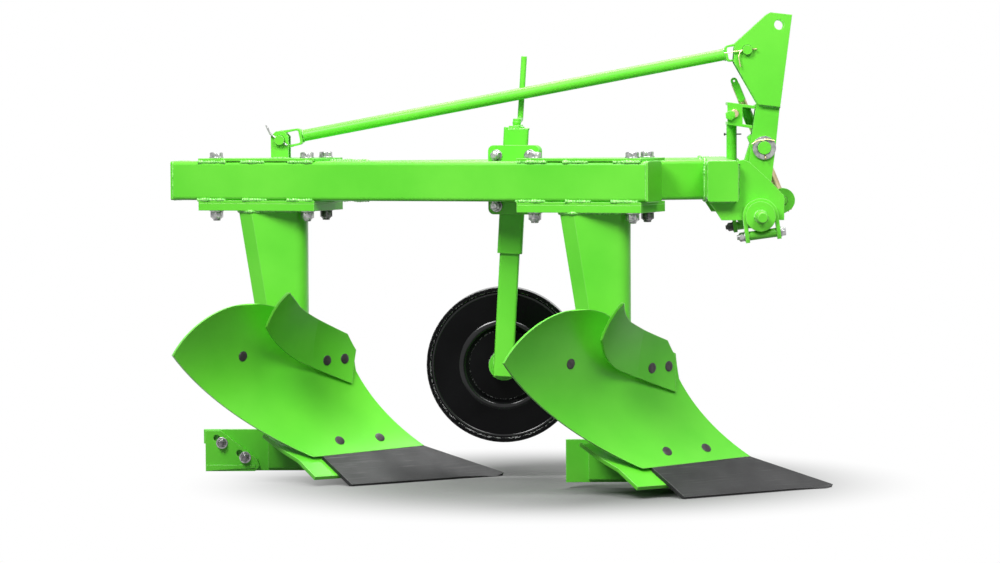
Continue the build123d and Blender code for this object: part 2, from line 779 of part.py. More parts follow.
# ---------------------------------------------------------------- mast
for name, y in (
    ("near_mast_plate", mast_y - plate_gap / 2 - mast_thick),
    ("far_mast_plate", mast_y + plate_gap / 2),
):
    with BuildPart() as mast_plate:
        with BuildSketch(head(y)):
            with BuildLine():
                Polyline((top_link_ahead - 24.7, top_link_rise + 21.7),
                         (top_link_ahead - 17.6, top_link_rise + 25.1),
                         (top_link_ahead + 26.3, top_link_rise + 20),
                         (mast_join_ahead + 43.9, mast_join_rise - 5.3),
                         (mast_join_ahead, mast_join_rise),
                         (mast_join_ahead - 4.1, mast_join_rise + 5.2),
                         (brace_front_ahead - 26.1, brace_front_rise - 27.2),
                         (brace_front_ahead - 28.2, brace_front_rise - 22.1),
                         (brace_front_ahead - 25.1, brace_front_rise + 13.7), close=True)
            make_face()
            with Locations((top_link_ahead, top_link_rise)):
                Circle(top_link_radius, mode=Mode.SUBTRACT)
            with Locations((brace_front_ahead, brace_front_rise)):
                Circle(brace_pin_radius, mode=Mode.SUBTRACT)
        extrude(amount=-mast_thick)
    write(mast_plate, name)

for name, y in (
    ("near_mast_arm", mast_y - arm_gap / 2 - mast_thick),
    ("far_mast_arm", mast_y + arm_gap / 2),
):
    with BuildPart() as mast_arm:
        with BuildSketch(head(y)):
            with BuildLine():
                Polyline(*[(mast_join_ahead + x, mast_join_rise + z) for x, z in arm_join_corners],
                         *[(mast_pin_ahead + x, mast_pin_rise + z) for x, z in arm_pin_corners],
                         close=True)
            make_face()
            with Locations((mast_pin_ahead, mast_pin_rise)):
                Circle(mast_pin_radius, mode=Mode.SUBTRACT)
        extrude(amount=-mast_thick)
    write(mast_arm, name)

with BuildPart() as mast_foot:
    for y in (mast_y - foot_gap / 2 - foot_thick, mast_y + foot_gap / 2):
        with BuildSketch(head(y)):
            with BuildLine():
                Polyline((tube_front, mast_pin_rise - 92.3), (tube_front, mast_pin_rise - 29.3),
                         (mast_pin_ahead - 40.5, mast_pin_rise - 27.3),
                         (mast_pin_ahead - 29, mast_pin_rise + 9.7),
                         (mast_pin_ahead - 34, mast_pin_rise + 21.7),
                         (mast_pin_ahead - 27, mast_pin_rise + 27.7),
                         (mast_pin_ahead + 19.5, mast_pin_rise + 25.7),
                         (mast_pin_ahead + 15.5, mast_pin_rise - 67.3),
                         (mast_pin_ahead - 0.5, mast_pin_rise - 87.3), close=True)
            make_face()
            with Locations((mast_pin_ahead, mast_pin_rise)):
                Circle(mast_pin_radius, mode=Mode.SUBTRACT)
        extrude(amount=-foot_thick)
write(mast_foot, "mast_foot")

arm_out = arm_gap / 2 + mast_thick
with BuildPart() as mast_pin:
    with BuildSketch(side(mast_y - arm_out - mast_pin_out, mast_pin_x, mast_pin_z)):
        Circle(mast_pin_radius)
    extrude(amount=-2 * (arm_out + mast_pin_out))
    for y in (mast_y - arm_out - mast_washer_thick, mast_y + arm_out):
        with BuildSketch(side(y, mast_pin_x, mast_pin_z)):
            Circle(mast_washer_radius)
        extrude(amount=-mast_washer_thick)
write(mast_pin, "mast_pin")

# bracket behind the mast arms that carries the screw's nut, and the strut under it
bracket_near_y = mast_y - arm_out
bracket_far_y = screw_y + nut_radius + 4
with BuildPart() as screw_bracket:
    for height, arm_edge in ((bracket_top_z, bracket_top_x), (bracket_low_z, bracket_low_x)):
        with BuildSketch(side(bracket_near_y)):
            with BuildLine():
                Polyline((bracket_back_x, height), (arm_edge, height - bracket_fall),
                         (arm_edge, height - bracket_fall - bracket_thick),
                         (bracket_back_x, height - bracket_thick), close=True)
            make_face()
        extrude(amount=-(bracket_far_y - bracket_near_y))
    with BuildSketch(side(bracket_near_y, bracket_back_x)):
        with BuildLine():
            Polyline((0, bracket_top_z - 1), (bracket_cheek, bracket_top_z - 5),
                     (bracket_cheek, bracket_low_z - 8), (0, bracket_low_z - 4), close=True)
        make_face()
    extrude(amount=-bracket_thick)
    with BuildSketch(on_screw(0)):
        Circle(screw_radius + nut_gap)
    extrude(amount=screw_run, mode=Mode.SUBTRACT)
write(screw_bracket, "screw_bracket")

top_fall = nut_cut * bracket_fall / (bracket_top_x - bracket_back_x)
low_fall = nut_cut * bracket_fall / (bracket_low_x - bracket_back_x)
with BuildPart() as screw_nut:
    with BuildSketch(on_screw(0)):
        Circle(nut_radius)
        Circle(screw_radius + nut_gap, mode=Mode.SUBTRACT)
    extrude(amount=screw_run)
    with BuildSketch(side(bracket_near_y)):
        with BuildLine():
            Polyline((bracket_back_x, bracket_top_z - bracket_thick),
                     (bracket_back_x + nut_cut, bracket_top_z - bracket_thick - top_fall),
                     (bracket_back_x + nut_cut, bracket_low_z - low_fall),
                     (bracket_back_x, bracket_low_z), close=True)
        make_face()
    extrude(amount=-(bracket_far_y - bracket_near_y), mode=Mode.INTERSECT)
write(screw_nut, "screw_nut")

with BuildPart() as screw_strut:
    with BuildSketch(at(cross_x + strut_ahead, strut_y, beam_height)):
        Circle(strut_radius)
        Circle(strut_radius - strut_wall, mode=Mode.SUBTRACT)
    extrude(amount=bracket_low_z - bracket_thick - beam_height)
    with BuildSketch(side(bracket_near_y)):
        with Locations((cross_x, beam_height)):
            RectangleRounded(cross_width, beam_size, beam_corner)
    extrude(amount=-(bracket_far_y - bracket_near_y), mode=Mode.SUBTRACT)
    add(screw_bracket.part, mode=Mode.SUBTRACT)
write(screw_strut, "screw_strut")

# ---------------------------------------------------------------- brace
clevis_top = beam_height + clevis_rise
brace_rise = brace_front_z - brace_rear_z
brace_slope = math.degrees(math.atan2(brace_rise, brace_front_x - brace_rear_x))
with BuildPart() as brace_clevis:
    for y in (brace_rear_y - clevis_gap / 2 - clevis_thick, brace_rear_y + clevis_gap / 2):
        with BuildSketch(side(y, brace_rear_x)):
            with BuildLine():
                Polyline((-clevis_width / 2, beam_top + pad_thick),
                         (clevis_width / 2, beam_top + pad_thick),
                         (clevis_width / 2, clevis_top - clevis_corner),
                         (clevis_width / 2 - clevis_corner, clevis_top),
                         (-clevis_width / 2 + clevis_corner, clevis_top),
                         (-clevis_width / 2, clevis_top - clevis_corner), close=True)
            make_face()
            with Locations((0, brace_rear_z)):
                Circle(brace_pin_radius, mode=Mode.SUBTRACT)
        extrude(amount=-clevis_thick)
write(brace_clevis, "brace_clevis")

eyes = []
for end, x, y, z, turn, half_pin in (
    ("rear", brace_rear_x, brace_rear_y, brace_rear_z, brace_slope, clevis_gap / 2 + clevis_thick),
    ("front", brace_front_x, mast_y, brace_front_z, brace_slope + 180, plate_gap / 2 + mast_thick),
):
    with BuildPart() as eye:
        with BuildSketch(side(y - eye_wide / 2, x, z, turn=turn)):
            Circle(eye_radius)
            with Locations((eye_long - eye_shoulder, eye_radius - eye_shoulder - 2),
                           (eye_long - eye_shoulder, eye_shoulder + 2 - eye_radius)):
                Circle(eye_shoulder)
            make_hull()
            Circle(brace_pin_radius, mode=Mode.SUBTRACT)
            with Locations(((eye_radius - eye_wall + eye_long - eye_wall) / 2, 0)):
                RectangleRounded(eye_long - eye_radius, 2 * (eye_radius - eye_wall) - 2, eye_window,
                                 mode=Mode.SUBTRACT)
        extrude(amount=-eye_wide)
    write(eye, "brace_" + end + "_eye")
    eyes.append(eye)
    with BuildPart() as brace_pin:
        with BuildSketch(side(y - half_pin - brace_pin_out, x, z)):
            Circle(brace_pin_radius)
        extrude(amount=-2 * (half_pin + brace_pin_out))
    write(brace_pin, "brace_" + end + "_pin")

brace_run = math.hypot(brace_front_x - brace_rear_x, brace_aside, brace_rise)
brace_dir = tuple(part / brace_run for part in (brace_front_x - brace_rear_x, brace_aside, brace_rise))
with BuildPart() as brace_tube:
    brace_rear = (brace_rear_x, brace_rear_y, brace_rear_z)
    start = tuple(p + eye_long * d for p, d in zip(brace_rear, brace_dir))
    with BuildSketch(at(*start, x_dir=(-brace_dir[1], brace_dir[0], 0), z_dir=brace_dir)):
        Circle(brace_radius)
        Circle(brace_radius - brace_wall, mode=Mode.SUBTRACT)
    extrude(amount=brace_run - 2 * eye_long)
    for eye in eyes:
        add(eye.part, mode=Mode.SUBTRACT)
write(brace_tube, "brace_tube")

# ---------------------------------------------------------------- depth wheel
for name, offset in (("wheel_clamp_plate", 0), ("wheel_bracket", clamp_thick)):
    with BuildPart() as clamp:
        place = along_beam(clamp_mid, beam_size / 2 + offset, (clamp_low + clamp_high) / 2)
        with BuildSketch(at(*place, x_dir=ahead, z_dir=left_of_beam)):
            RectangleRounded(clamp_long, clamp_high - clamp_low, clamp_corner)
        extrude(amount=clamp_thick)
        if name == "wheel_bracket":
            # wedges between the slanting plate and the square arm
            for height in (clamp_low, clamp_high - gusset_thick):
                lean_x = arm_x + (height + gusset_thick / 2 - arm_z) * math.tan(math.radians(arm_lean))
                arm_back = lean_x - arm_size / 2 + arm_corner
                arm_front = lean_x + arm_size / 2 - arm_corner
                tan_beam = math.tan(math.radians(beam_angle))
                plate_y0 = along_beam(0, beam_size / 2 + 2 * clamp_thick - 1, 0)
                face_y = [plate_y0[1] + (x - plate_y0[0]) * tan_beam for x in (arm_back, arm_front)]
                with BuildSketch(at(0, 0, height)):
                    with BuildLine():
                        Polyline((arm_back, face_y[0]), (arm_front, face_y[1]),
                                 (arm_front, arm_y - arm_size / 2), (arm_back, arm_y - arm_size / 2),
                                 close=True)
                    make_face()
                extrude(amount=gusset_thick)
    write(clamp, name)

arm_dir = (math.sin(math.radians(arm_lean)), 0, math.cos(math.radians(arm_lean)))


def on_arm(along):
    """Plane square to the arm, along its middle line from arm_x, arm_y, arm_z."""
    return at(arm_x + along * arm_dir[0], arm_y, arm_z + along * arm_dir[2],
              x_dir=(arm_dir[2], 0, -arm_dir[0]), z_dir=arm_dir)


with BuildPart() as outer_tube:
    with BuildSketch(on_arm(arm_low)):
        box_tube(arm_size, arm_size, arm_wall, arm_corner)
    extrude(amount=arm_high - arm_low)
    with BuildSketch(on_arm(arm_high)):
        RectangleRounded(arm_size, arm_size, arm_corner)
    extrude(amount=arm_cap)
write(outer_tube, "wheel_outer_tube")

with BuildPart() as inner_tube:
    with BuildSketch(on_arm(slide_low)):
        box_tube(slide_size, slide_size, slide_wall, slide_corner)
    extrude(amount=slide_top - slide_low)
write(inner_tube, "wheel_inner_tube")

axle_x = arm_x + axle_drop * arm_dir[0]
axle_z = arm_z + axle_drop * arm_dir[2]
flange_near_y = arm_y + slide_size / 2
wheel_near_y = flange_near_y + axle_flange_thick + wheel_gap
with BuildPart() as wheel_axle:
    with BuildSketch(side(flange_near_y, axle_x, axle_z)):
        Circle(axle_flange_radius)
    extrude(amount=-axle_flange_thick)
    with BuildSketch(side(flange_near_y, axle_x, axle_z)):
        Circle(axle_radius)
    extrude(amount=-(axle_flange_thick + wheel_gap + wheel_width + axle_end))
write(wheel_axle, "wheel_axle")

# wheel: a rim and hub joined by a dished web, turned about the axle
with BuildPart() as depth_wheel:
    with BuildSketch(at(axle_x, wheel_near_y, axle_z)):
        with BuildLine():
            Polyline((axle_radius + bore_gap, 0), (hub_radius, 0), (hub_radius, wheel_dish),
                     (wheel_step - wheel_dish, wheel_dish), (wheel_step, wheel_lip),
                     (wheel_radius - wheel_rim, wheel_lip), (wheel_radius - wheel_rim, 0),
                     (wheel_radius, 0), (wheel_radius, wheel_width),
                     (wheel_radius - wheel_rim, wheel_width),
                     (wheel_radius - wheel_rim, wheel_lip + wheel_web),
                     (wheel_step + 2, wheel_lip + wheel_web),
                     (wheel_step - wheel_dish + 2, wheel_dish + wheel_web),
                     (hub_radius, wheel_dish + wheel_web), (hub_radius, wheel_width),
                     (axle_radius + bore_gap, wheel_width), close=True)
        make_face()
    revolve(axis=Axis(at(axle_x, wheel_near_y, axle_z).origin, (0, 1, 0)))
write(depth_wheel, "depth_wheel")

# crank on the arm's screw: a washer and boss, an arm reaching to the far side and its handle
cap_top = on_arm(arm_high + arm_cap)
with BuildPart() as wheel_crank:
    with BuildSketch(cap_top):
        Circle(washer_radius)
    extrude(amount=washer_thick)
    with BuildSketch(cap_top):
        Circle(crank_rod_radius + 2)
    extrude(amount=crank_boss_high)
    boss = on_arm(arm_high + arm_cap + crank_boss_high - crank_rod_radius).origin
    foot = at(arm_x + crank_foot_ahead, crank_reach_y, beam_height + crank_foot_rise).origin
    top = at(arm_x + crank_top_ahead, crank_reach_y, beam_height + crank_top_rise).origin
    for start, end in ((boss, foot), (foot, top)):
        with BuildSketch(Plane(origin=start, z_dir=end - start)):
            Circle(crank_rod_radius)
        extrude(amount=(end - start).length)
    with Locations(foot):
        Sphere(crank_rod_radius)
write(wheel_crank, "wheel_crank")
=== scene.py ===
import bpy
import json
import math
import random
from mathutils import Matrix, Vector
from mathutils.bvhtree import BVHTree


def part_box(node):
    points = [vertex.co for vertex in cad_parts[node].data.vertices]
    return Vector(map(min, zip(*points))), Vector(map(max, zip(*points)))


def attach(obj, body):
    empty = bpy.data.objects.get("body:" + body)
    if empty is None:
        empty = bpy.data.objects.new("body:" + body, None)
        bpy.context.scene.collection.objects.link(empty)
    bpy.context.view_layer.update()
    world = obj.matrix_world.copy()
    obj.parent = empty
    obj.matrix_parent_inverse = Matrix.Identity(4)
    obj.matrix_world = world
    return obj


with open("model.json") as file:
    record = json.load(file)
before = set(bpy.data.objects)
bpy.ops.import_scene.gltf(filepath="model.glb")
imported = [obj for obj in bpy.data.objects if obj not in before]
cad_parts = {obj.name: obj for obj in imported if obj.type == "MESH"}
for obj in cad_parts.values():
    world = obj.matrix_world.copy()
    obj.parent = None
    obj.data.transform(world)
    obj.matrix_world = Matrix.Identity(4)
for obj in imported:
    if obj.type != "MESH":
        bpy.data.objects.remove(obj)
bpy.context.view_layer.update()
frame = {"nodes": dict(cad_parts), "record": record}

random.seed(7)
print("frame loaded")

# places that everything else hangs on; the beam's middle is read from the frame, its heading and size are
# given
up = Vector((0, 0, 1))
across = Vector((0, 1, 0))
travel = Vector((1, 0, 0))


def middle(node):
    low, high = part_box(node)
    return (low + high) / 2


def level(degrees):
    return Vector((math.cos(math.radians(degrees)), math.sin(math.radians(degrees)), 0))


beamHeading = -20.6                      # degrees from the line of travel, seen from above
ahead = level(beamHeading)
beamLeft = level(beamHeading + 90)
beamMiddle = middle("main_beam")
halfBeam = 0.04                          # half of the square tube's side


def onBeam(along, aside, rise):
    return beamMiddle + ahead * along + beamLeft * aside + up * rise


# camera: a long lens from the near side, a little above the beam; angles in degrees
cameraView = {"place": (0.2136, -7.22385, 0.745), "turn": 1.6, "down": 2.717, "roll": -0.3, "lens": 127.8,
              "sensor": 36, "farClip": 200}
cameraData = bpy.data.cameras.new("camera")
cameraData.lens = cameraView["lens"]
cameraData.sensor_width = cameraView["sensor"]
cameraData.clip_end = cameraView["farClip"]
camera = bpy.data.objects.new("camera", cameraData)
camera.location = cameraView["place"]
camera.rotation_euler = (
    Matrix.Rotation(math.radians(cameraView["turn"]), 4, "Z")
    @ Matrix.Rotation(math.radians(90 - cameraView["down"]), 4, "X")
    @ Matrix.Rotation(math.radians(cameraView["roll"]), 4, "Z")
).to_euler()
bpy.context.scene.collection.objects.link(camera)
bpy.context.scene.camera = camera
print("camera placed")


# shader groups that several finishes share
def startGroup(name, inputs, outputs):
    group = bpy.data.node_groups.new(name, "ShaderNodeTree")
    for label, kind, value in inputs:
        socket = group.interface.new_socket(label, in_out="INPUT", socket_type="NodeSocket" + kind)
        socket.default_value = value
    for label, kind in outputs:
        group.interface.new_socket(label, in_out="OUTPUT", socket_type="NodeSocket" + kind)
    return group, group.nodes.new("NodeGroupInput"), group.nodes.new("NodeGroupOutput")


def addNode(tree, kind, settings=(), values=()):
    node = tree.nodes.new("ShaderNode" + kind)
    for key, value in dict(settings).items():
        setattr(node, key, value)
    for key, value in dict(values).items():
        node.inputs[key].default_value = value
    return node


def mixColours(tree, factor, first, second, blend="MIX"):
    mix = addNode(tree, "Mix", {"data_type": "RGBA", "blend_type": blend})
    for socket, value in ((mix.inputs[0], factor), (mix.inputs[6], first), (mix.inputs[7], second)):
        if isinstance(value, bpy.types.NodeSocket):
            tree.links.new(value, socket)
        else:
            socket.default_value = value
    return mix.outputs[2]


def scaledNoise(tree, vector, scale, detail=3.0):
    noise = addNode(tree, "TexNoise", values={"Detail": detail})
    tree.links.new(vector, noise.inputs["Vector"])
    tree.links.new(scale, noise.inputs["Scale"])
    return noise.outputs["Fac"]


def makePaintSkin():
    # sprayed skin: slow drift of the tone, fine orange peel, roughness that wanders a little
    group, given, made = startGroup(
        "paintSkin",
        [("Colour", "Color", (0.1, 0.6, 0.03, 1)), ("Deep Colour", "Color", (0.05, 0.5, 0.02, 1)),
         ("Patch Scale", "Float", 4.0), ("Peel Scale", "Float", 450.0), ("Roughness", "Float", 0.3),
         ("Roughness Drift", "Float", 0.12)],
        [("Colour", "Color"), ("Roughness", "Float"), ("Height", "Float")])
    links = group.links
    place = addNode(group, "TexCoord").outputs["Object"]
    patches = scaledNoise(group, place, given.outputs["Patch Scale"], detail=4.0)
    spread = addNode(group, "MapRange", values={"From Min": 0.36, "From Max": 0.66})
    links.new(patches, spread.inputs["Value"])
    links.new(mixColours(group, spread.outputs[0], given.outputs["Colour"], given.outputs["Deep Colour"]),
              made.inputs["Colour"])
    links.new(scaledNoise(group, place, given.outputs["Peel Scale"], detail=2.0), made.inputs["Height"])
    centred = addNode(group, "Math", {"operation": "SUBTRACT"}, {1: 0.5})
    links.new(patches, centred.inputs[0])
    drift = addNode(group, "Math", {"operation": "MULTIPLY_ADD"})
    links.new(centred.outputs[0], drift.inputs[0])
    links.new(given.outputs["Roughness Drift"], drift.inputs[1])
    links.new(given.outputs["Roughness"], drift.inputs[2])
    links.new(drift.outputs[0], made.inputs["Roughness"])
    return group


def makeSoftEdge():
    # rounds sharp edges in the shading and masks them; the mask paints highlights along edges, and worn chips
    # where noise thins it out
    group, given, made = startGroup(
        "softEdge", [("Radius", "Float", 0.001)], [("Normal", "Vector"), ("Edge", "Float")])
    links = group.links
    bevel = addNode(group, "Bevel", {"samples": 4})
    links.new(given.outputs["Radius"], bevel.inputs["Radius"])
    links.new(bevel.outputs[0], made.inputs["Normal"])
    compare = addNode(group, "VectorMath", {"operation": "DOT_PRODUCT"})
    links.new(bevel.outputs[0], compare.inputs[0])
    links.new(addNode(group, "NewGeometry").outputs["Normal"], compare.inputs[1])
    mask = addNode(group, "MapRange", values={"From Min": 0.995, "From Max": 0.85})
    links.new(compare.outputs["Value"], mask.inputs["Value"])
    links.new(mask.outputs[0], made.inputs["Edge"])
    return group


def makeScratches():
    # long thin marks along one way of the part, thinned out by larger patches
    group, given, made = startGroup(
        "scratches",
        [("Stretch", "Vector", (6.0, 300.0, 300.0)), ("Turn", "Float", 0.0), ("Amount", "Float", 0.5)],
        [("Mask", "Float")])
    links = group.links
    place = addNode(group, "TexCoord").outputs["Object"]
    turned = addNode(group, "VectorRotate", {"rotation_type": "Z_AXIS"})
    links.new(place, turned.inputs["Vector"])
    links.new(given.outputs["Turn"], turned.inputs["Angle"])
    drawn = addNode(group, "VectorMath", {"operation": "MULTIPLY"})
    links.new(turned.outputs[0], drawn.inputs[0])
    links.new(given.outputs["Stretch"], drawn.inputs[1])
    streak = addNode(group, "TexNoise", values={"Scale": 1.0, "Detail": 4.0})
    links.new(drawn.outputs[0], streak.inputs["Vector"])
    thin = addNode(group, "MapRange", values={"From Min": 0.56, "From Max": 0.72})
    links.new(streak.outputs["Fac"], thin.inputs["Value"])
    patch = addNode(group, "TexNoise", values={"Scale": 14.0, "Detail": 2.0})
    links.new(place, patch.inputs["Vector"])
    some = addNode(group, "MapRange", values={"From Min": 0.4, "From Max": 0.7})
    links.new(patch.outputs["Fac"], some.inputs["Value"])
    both = addNode(group, "Math", {"operation": "MULTIPLY"})
    links.new(thin.outputs[0], both.inputs[0])
    links.new(some.outputs[0], both.inputs[1])
    scaled = addNode(group, "Math", {"operation": "MULTIPLY"})
    links.new(both.outputs[0], scaled.inputs[0])
    links.new(given.outputs["Amount"], scaled.inputs[1])
    links.new(scaled.outputs[0], made.inputs["Mask"])
    return group


paintSkin = makePaintSkin()
softEdge = makeSoftEdge()
scratches = makeScratches()
print("shader groups made")


# finishes
def placeGroup(tree, group, values=()):
    node = tree.nodes.new("ShaderNodeGroup")
    node.node_tree = group
    for key, value in dict(values).items():
        node.inputs[key].default_value = value
    return node


def makeFinish(name, look):
    material = bpy.data.materials.new(name)
    material.use_nodes = True
    tree = material.node_tree
    shader = tree.nodes["Principled BSDF"]
    links = tree.links
    for key, value in look["shader"].items():
        shader.inputs[key].default_value = value
    skin = placeGroup(tree, paintSkin, look["skin"])
    edge = placeGroup(tree, softEdge, {"Radius": look["edge"]["radius"]})
    edgeHighlightAndWear = edge.outputs["Edge"]
    if "chips" in look["edge"]:
        chips = addNode(tree, "TexNoise", values={"Scale": look["edge"]["chips"], "Detail": 3.0})
        links.new(addNode(tree, "TexCoord").outputs["Object"], chips.inputs["Vector"])
        bare = addNode(tree, "MapRange", values={"From Min": 0.5, "From Max": 0.56})
        links.new(chips.outputs["Fac"], bare.inputs["Value"])
        together = addNode(tree, "Math", {"operation": "MULTIPLY"})
        links.new(edgeHighlightAndWear, together.inputs[0])
        links.new(bare.outputs[0], together.inputs[1])
        edgeHighlightAndWear = together.outputs[0]
    # edges mixed toward the lighter edge colour: a painted highlight, and worn paint where chips thin the
    # mask
    amount = addNode(tree, "Math", {"operation": "MULTIPLY"}, {1: look["edge"]["amount"]})
    links.new(edgeHighlightAndWear, amount.inputs[0])
    colour = mixColours(tree, amount.outputs[0], skin.outputs["Colour"], look["edge"]["colour"])
    if "marks" in look:
        marks = placeGroup(tree, scratches, look["marks"]["values"])
        colour = mixColours(tree, marks.outputs["Mask"], colour, look["marks"]["colour"])
    links.new(colour, shader.inputs["Base Color"])
    links.new(skin.outputs["Roughness"], shader.inputs["Roughness"])
    bump = addNode(tree, "Bump", values={"Strength": look["bump"][0], "Distance": look["bump"][1]})
    links.new(skin.outputs["Height"], bump.inputs["Height"])
    links.new(edge.outputs["Normal"], bump.inputs["Normal"])
    links.new(bump.outputs[0], shader.inputs["Normal"])
    return material


greenEnamel = makeFinish("greenEnamel", {
    "skin": {"Colour": (0.135, 0.63, 0.036, 1), "Deep Colour": (0.095, 0.55, 0.022, 1), "Patch Scale": 5.0,
             "Peel Scale": 420.0, "Roughness": 0.36, "Roughness Drift": 0.2},
    # lighter green along all edges: a painted highlight
    "edge": {"radius": 0.002, "amount": 0.75, "colour": (0.45, 0.88, 0.27, 1)},
    "bump": (0.09, 0.0004),
    "shader": {"Coat Weight": 0.12, "Coat Roughness": 0.4, "Specular IOR Level": 0.33}})
# weld beads: spots a few millimetres across, from whitish to dark green, are painted glints and shade on the
# beads; their lighter edges are a painted highlight
weldEnamel = makeFinish("weldEnamel", {
    "skin": {"Colour": (0.3, 0.8, 0.16, 1), "Deep Colour": (0.05, 0.42, 0.012, 1), "Patch Scale": 210.0,
             "Peel Scale": 700.0, "Roughness": 0.3, "Roughness Drift": 0.3},
    "edge": {"radius": 0.0008, "amount": 0.3, "colour": (0.6, 0.92, 0.45, 1)},
    "bump": (0.5, 0.0009),
    "shader": {"Coat Weight": 0.4, "Coat Roughness": 0.2, "Specular IOR Level": 0.6}})
shareSteel = makeFinish("shareSteel", {
    "skin": {"Colour": (0.028, 0.028, 0.029, 1), "Deep Colour": (0.015, 0.015, 0.016, 1), "Patch Scale": 11.0,
             "Peel Scale": 700.0, "Roughness": 0.48, "Roughness Drift": 0.3},
    "edge": {"radius": 0.0014, "amount": 0.5, "colour": (0.24, 0.24, 0.24, 1)},
    "marks": {"values": {"Stretch": (9.0, 260.0, 260.0), "Turn": math.radians(-35), "Amount": 0.35},
              "colour": (0.2, 0.2, 0.2, 1)},
    "bump": (0.25, 0.0005),
    "shader": {"Metallic": 0.2, "Specular IOR Level": 0.35}})
wheelEnamel = makeFinish("wheelEnamel", {
    "skin": {"Colour": (0.002, 0.002, 0.0022, 1), "Deep Colour": (0.0045, 0.0045, 0.005, 1),
             "Patch Scale": 9.0, "Peel Scale": 500.0, "Roughness": 0.16, "Roughness Drift": 0.12},
    "edge": {"radius": 0.003, "amount": 0.9, "colour": (0.5, 0.5, 0.5, 1), "chips": 230.0},
    "bump": (0.12, 0.0004),
    "shader": {"Specular IOR Level": 0.05}})
foldEnamel = makeFinish("foldEnamel", {
    "skin": {"Colour": (0.004, 0.004, 0.0045, 1), "Deep Colour": (0.008, 0.008, 0.009, 1),
             "Patch Scale": 20.0, "Peel Scale": 500.0, "Roughness": 0.14, "Roughness Drift": 0.1},
    "edge": {"radius": 0.0008, "amount": 0.1, "colour": (0.3, 0.3, 0.3, 1)},
    "bump": (0.1, 0.0002),
    "shader": {"Specular IOR Level": 0.32}})
zincPlate = makeFinish("zincPlate", {
    "skin": {"Colour": (0.5, 0.5, 0.49, 1), "Deep Colour": (0.2, 0.2, 0.21, 1), "Patch Scale": 130.0,
             "Peel Scale": 900.0, "Roughness": 0.3, "Roughness Drift": 0.25},
    "edge": {"radius": 0.0006, "amount": 0.5, "colour": (0.8, 0.8, 0.79, 1)},
    "bump": (0.2, 0.0002),
    "shader": {"Metallic": 1.0}})
# a darker copy of the zinc; on the leg plates' far nut it stands for shade
darkZinc = makeFinish("darkZinc", {
    "skin": {"Colour": (0.2, 0.19, 0.2, 1), "Deep Colour": (0.07, 0.065, 0.07, 1), "Patch Scale": 140.0,
             "Peel Scale": 900.0, "Roughness": 0.34, "Roughness Drift": 0.25},
    "edge": {"radius": 0.0006, "amount": 0.6, "colour": (0.7, 0.7, 0.69, 1)},
    "bump": (0.2, 0.0002),
    "shader": {"Metallic": 1.0}})
yellowZinc = makeFinish("yellowZinc", {
    "skin": {"Colour": (0.66, 0.55, 0.34, 1), "Deep Colour": (0.45, 0.36, 0.2, 1), "Patch Scale": 60.0,
             "Peel Scale": 900.0, "Roughness": 0.36, "Roughness Drift": 0.25},
    "edge": {"radius": 0.0005, "amount": 0.4, "colour": (0.85, 0.78, 0.6, 1)},
    "bump": (0.2, 0.0002),
    "shader": {"Metallic": 0.9}})
blackOxide = makeFinish("blackOxide", {
    "skin": {"Colour": (0.06, 0.052, 0.056, 1), "Deep Colour": (0.035, 0.03, 0.034, 1), "Patch Scale": 120.0,
             "Peel Scale": 900.0, "Roughness": 0.42, "Roughness Drift": 0.25},
    "edge": {"radius": 0.0006, "amount": 0.6, "colour": (0.3, 0.3, 0.3, 1)},
    "marks": {"values": {"Stretch": (60.0, 700.0, 700.0), "Turn": 0.6, "Amount": 0.4},
              "colour": (0.16, 0.15, 0.15, 1)},
    "bump": (0.3, 0.0003),
    "shader": {"Metallic": 0.5}})
jointShade = makeFinish("jointShade", {
    "skin": {"Colour": (0.02, 0.1, 0.01, 1), "Deep Colour": (0.03, 0.16, 0.012, 1), "Patch Scale": 90.0,
             "Peel Scale": 800.0, "Roughness": 0.7, "Roughness Drift": 0.2},
    "edge": {"radius": 0.0003, "amount": 0.1, "colour": (0.05, 0.2, 0.03, 1)},
    "bump": (0.1, 0.0002),
    "shader": {"Specular IOR Level": 0.1}})

finishBySlot = {"frame_green": greenEnamel, "share_steel": shareSteel, "wheel_black": wheelEnamel,
                "yellow_zinc": yellowZinc}
slotByNode = {part["node"]: part["material_slot"] for part in frame["record"]["subparts"]}
for node, part in frame["nodes"].items():
    part.data.materials.clear()
    part.data.materials.append(finishBySlot[slotByNode[node]])
print("frame painted")


# mesh making
class Shape:
    def __init__(self):
        self.points = []
        self.faces = []

    def add(self, points, faces):
        start = len(self.points)
        self.points += [Vector(point) for point in points]
        self.faces += [[start + corner for corner in face] for face in faces]


def finishPiece(shape, name, finish, body, sharpAngle=35):
    mesh = bpy.data.meshes.new(name)
    mesh.from_pydata(shape.points, [], shape.faces)
    mesh.validate()
    mesh.materials.append(finish)
    mesh.polygons.foreach_set("use_smooth", [True] * len(mesh.polygons))
    mesh.set_sharp_from_angle(angle=math.radians(sharpAngle))
    piece = bpy.data.objects.new(name, mesh)
    bpy.context.scene.collection.objects.link(piece)
    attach(piece, body)


def axes(direction):
    # two directions square to this one
    direction = direction.normalized()
    helper = up if abs(direction.z) < 0.9 else travel
    first = direction.cross(helper).normalized()
    return first, direction.cross(first)


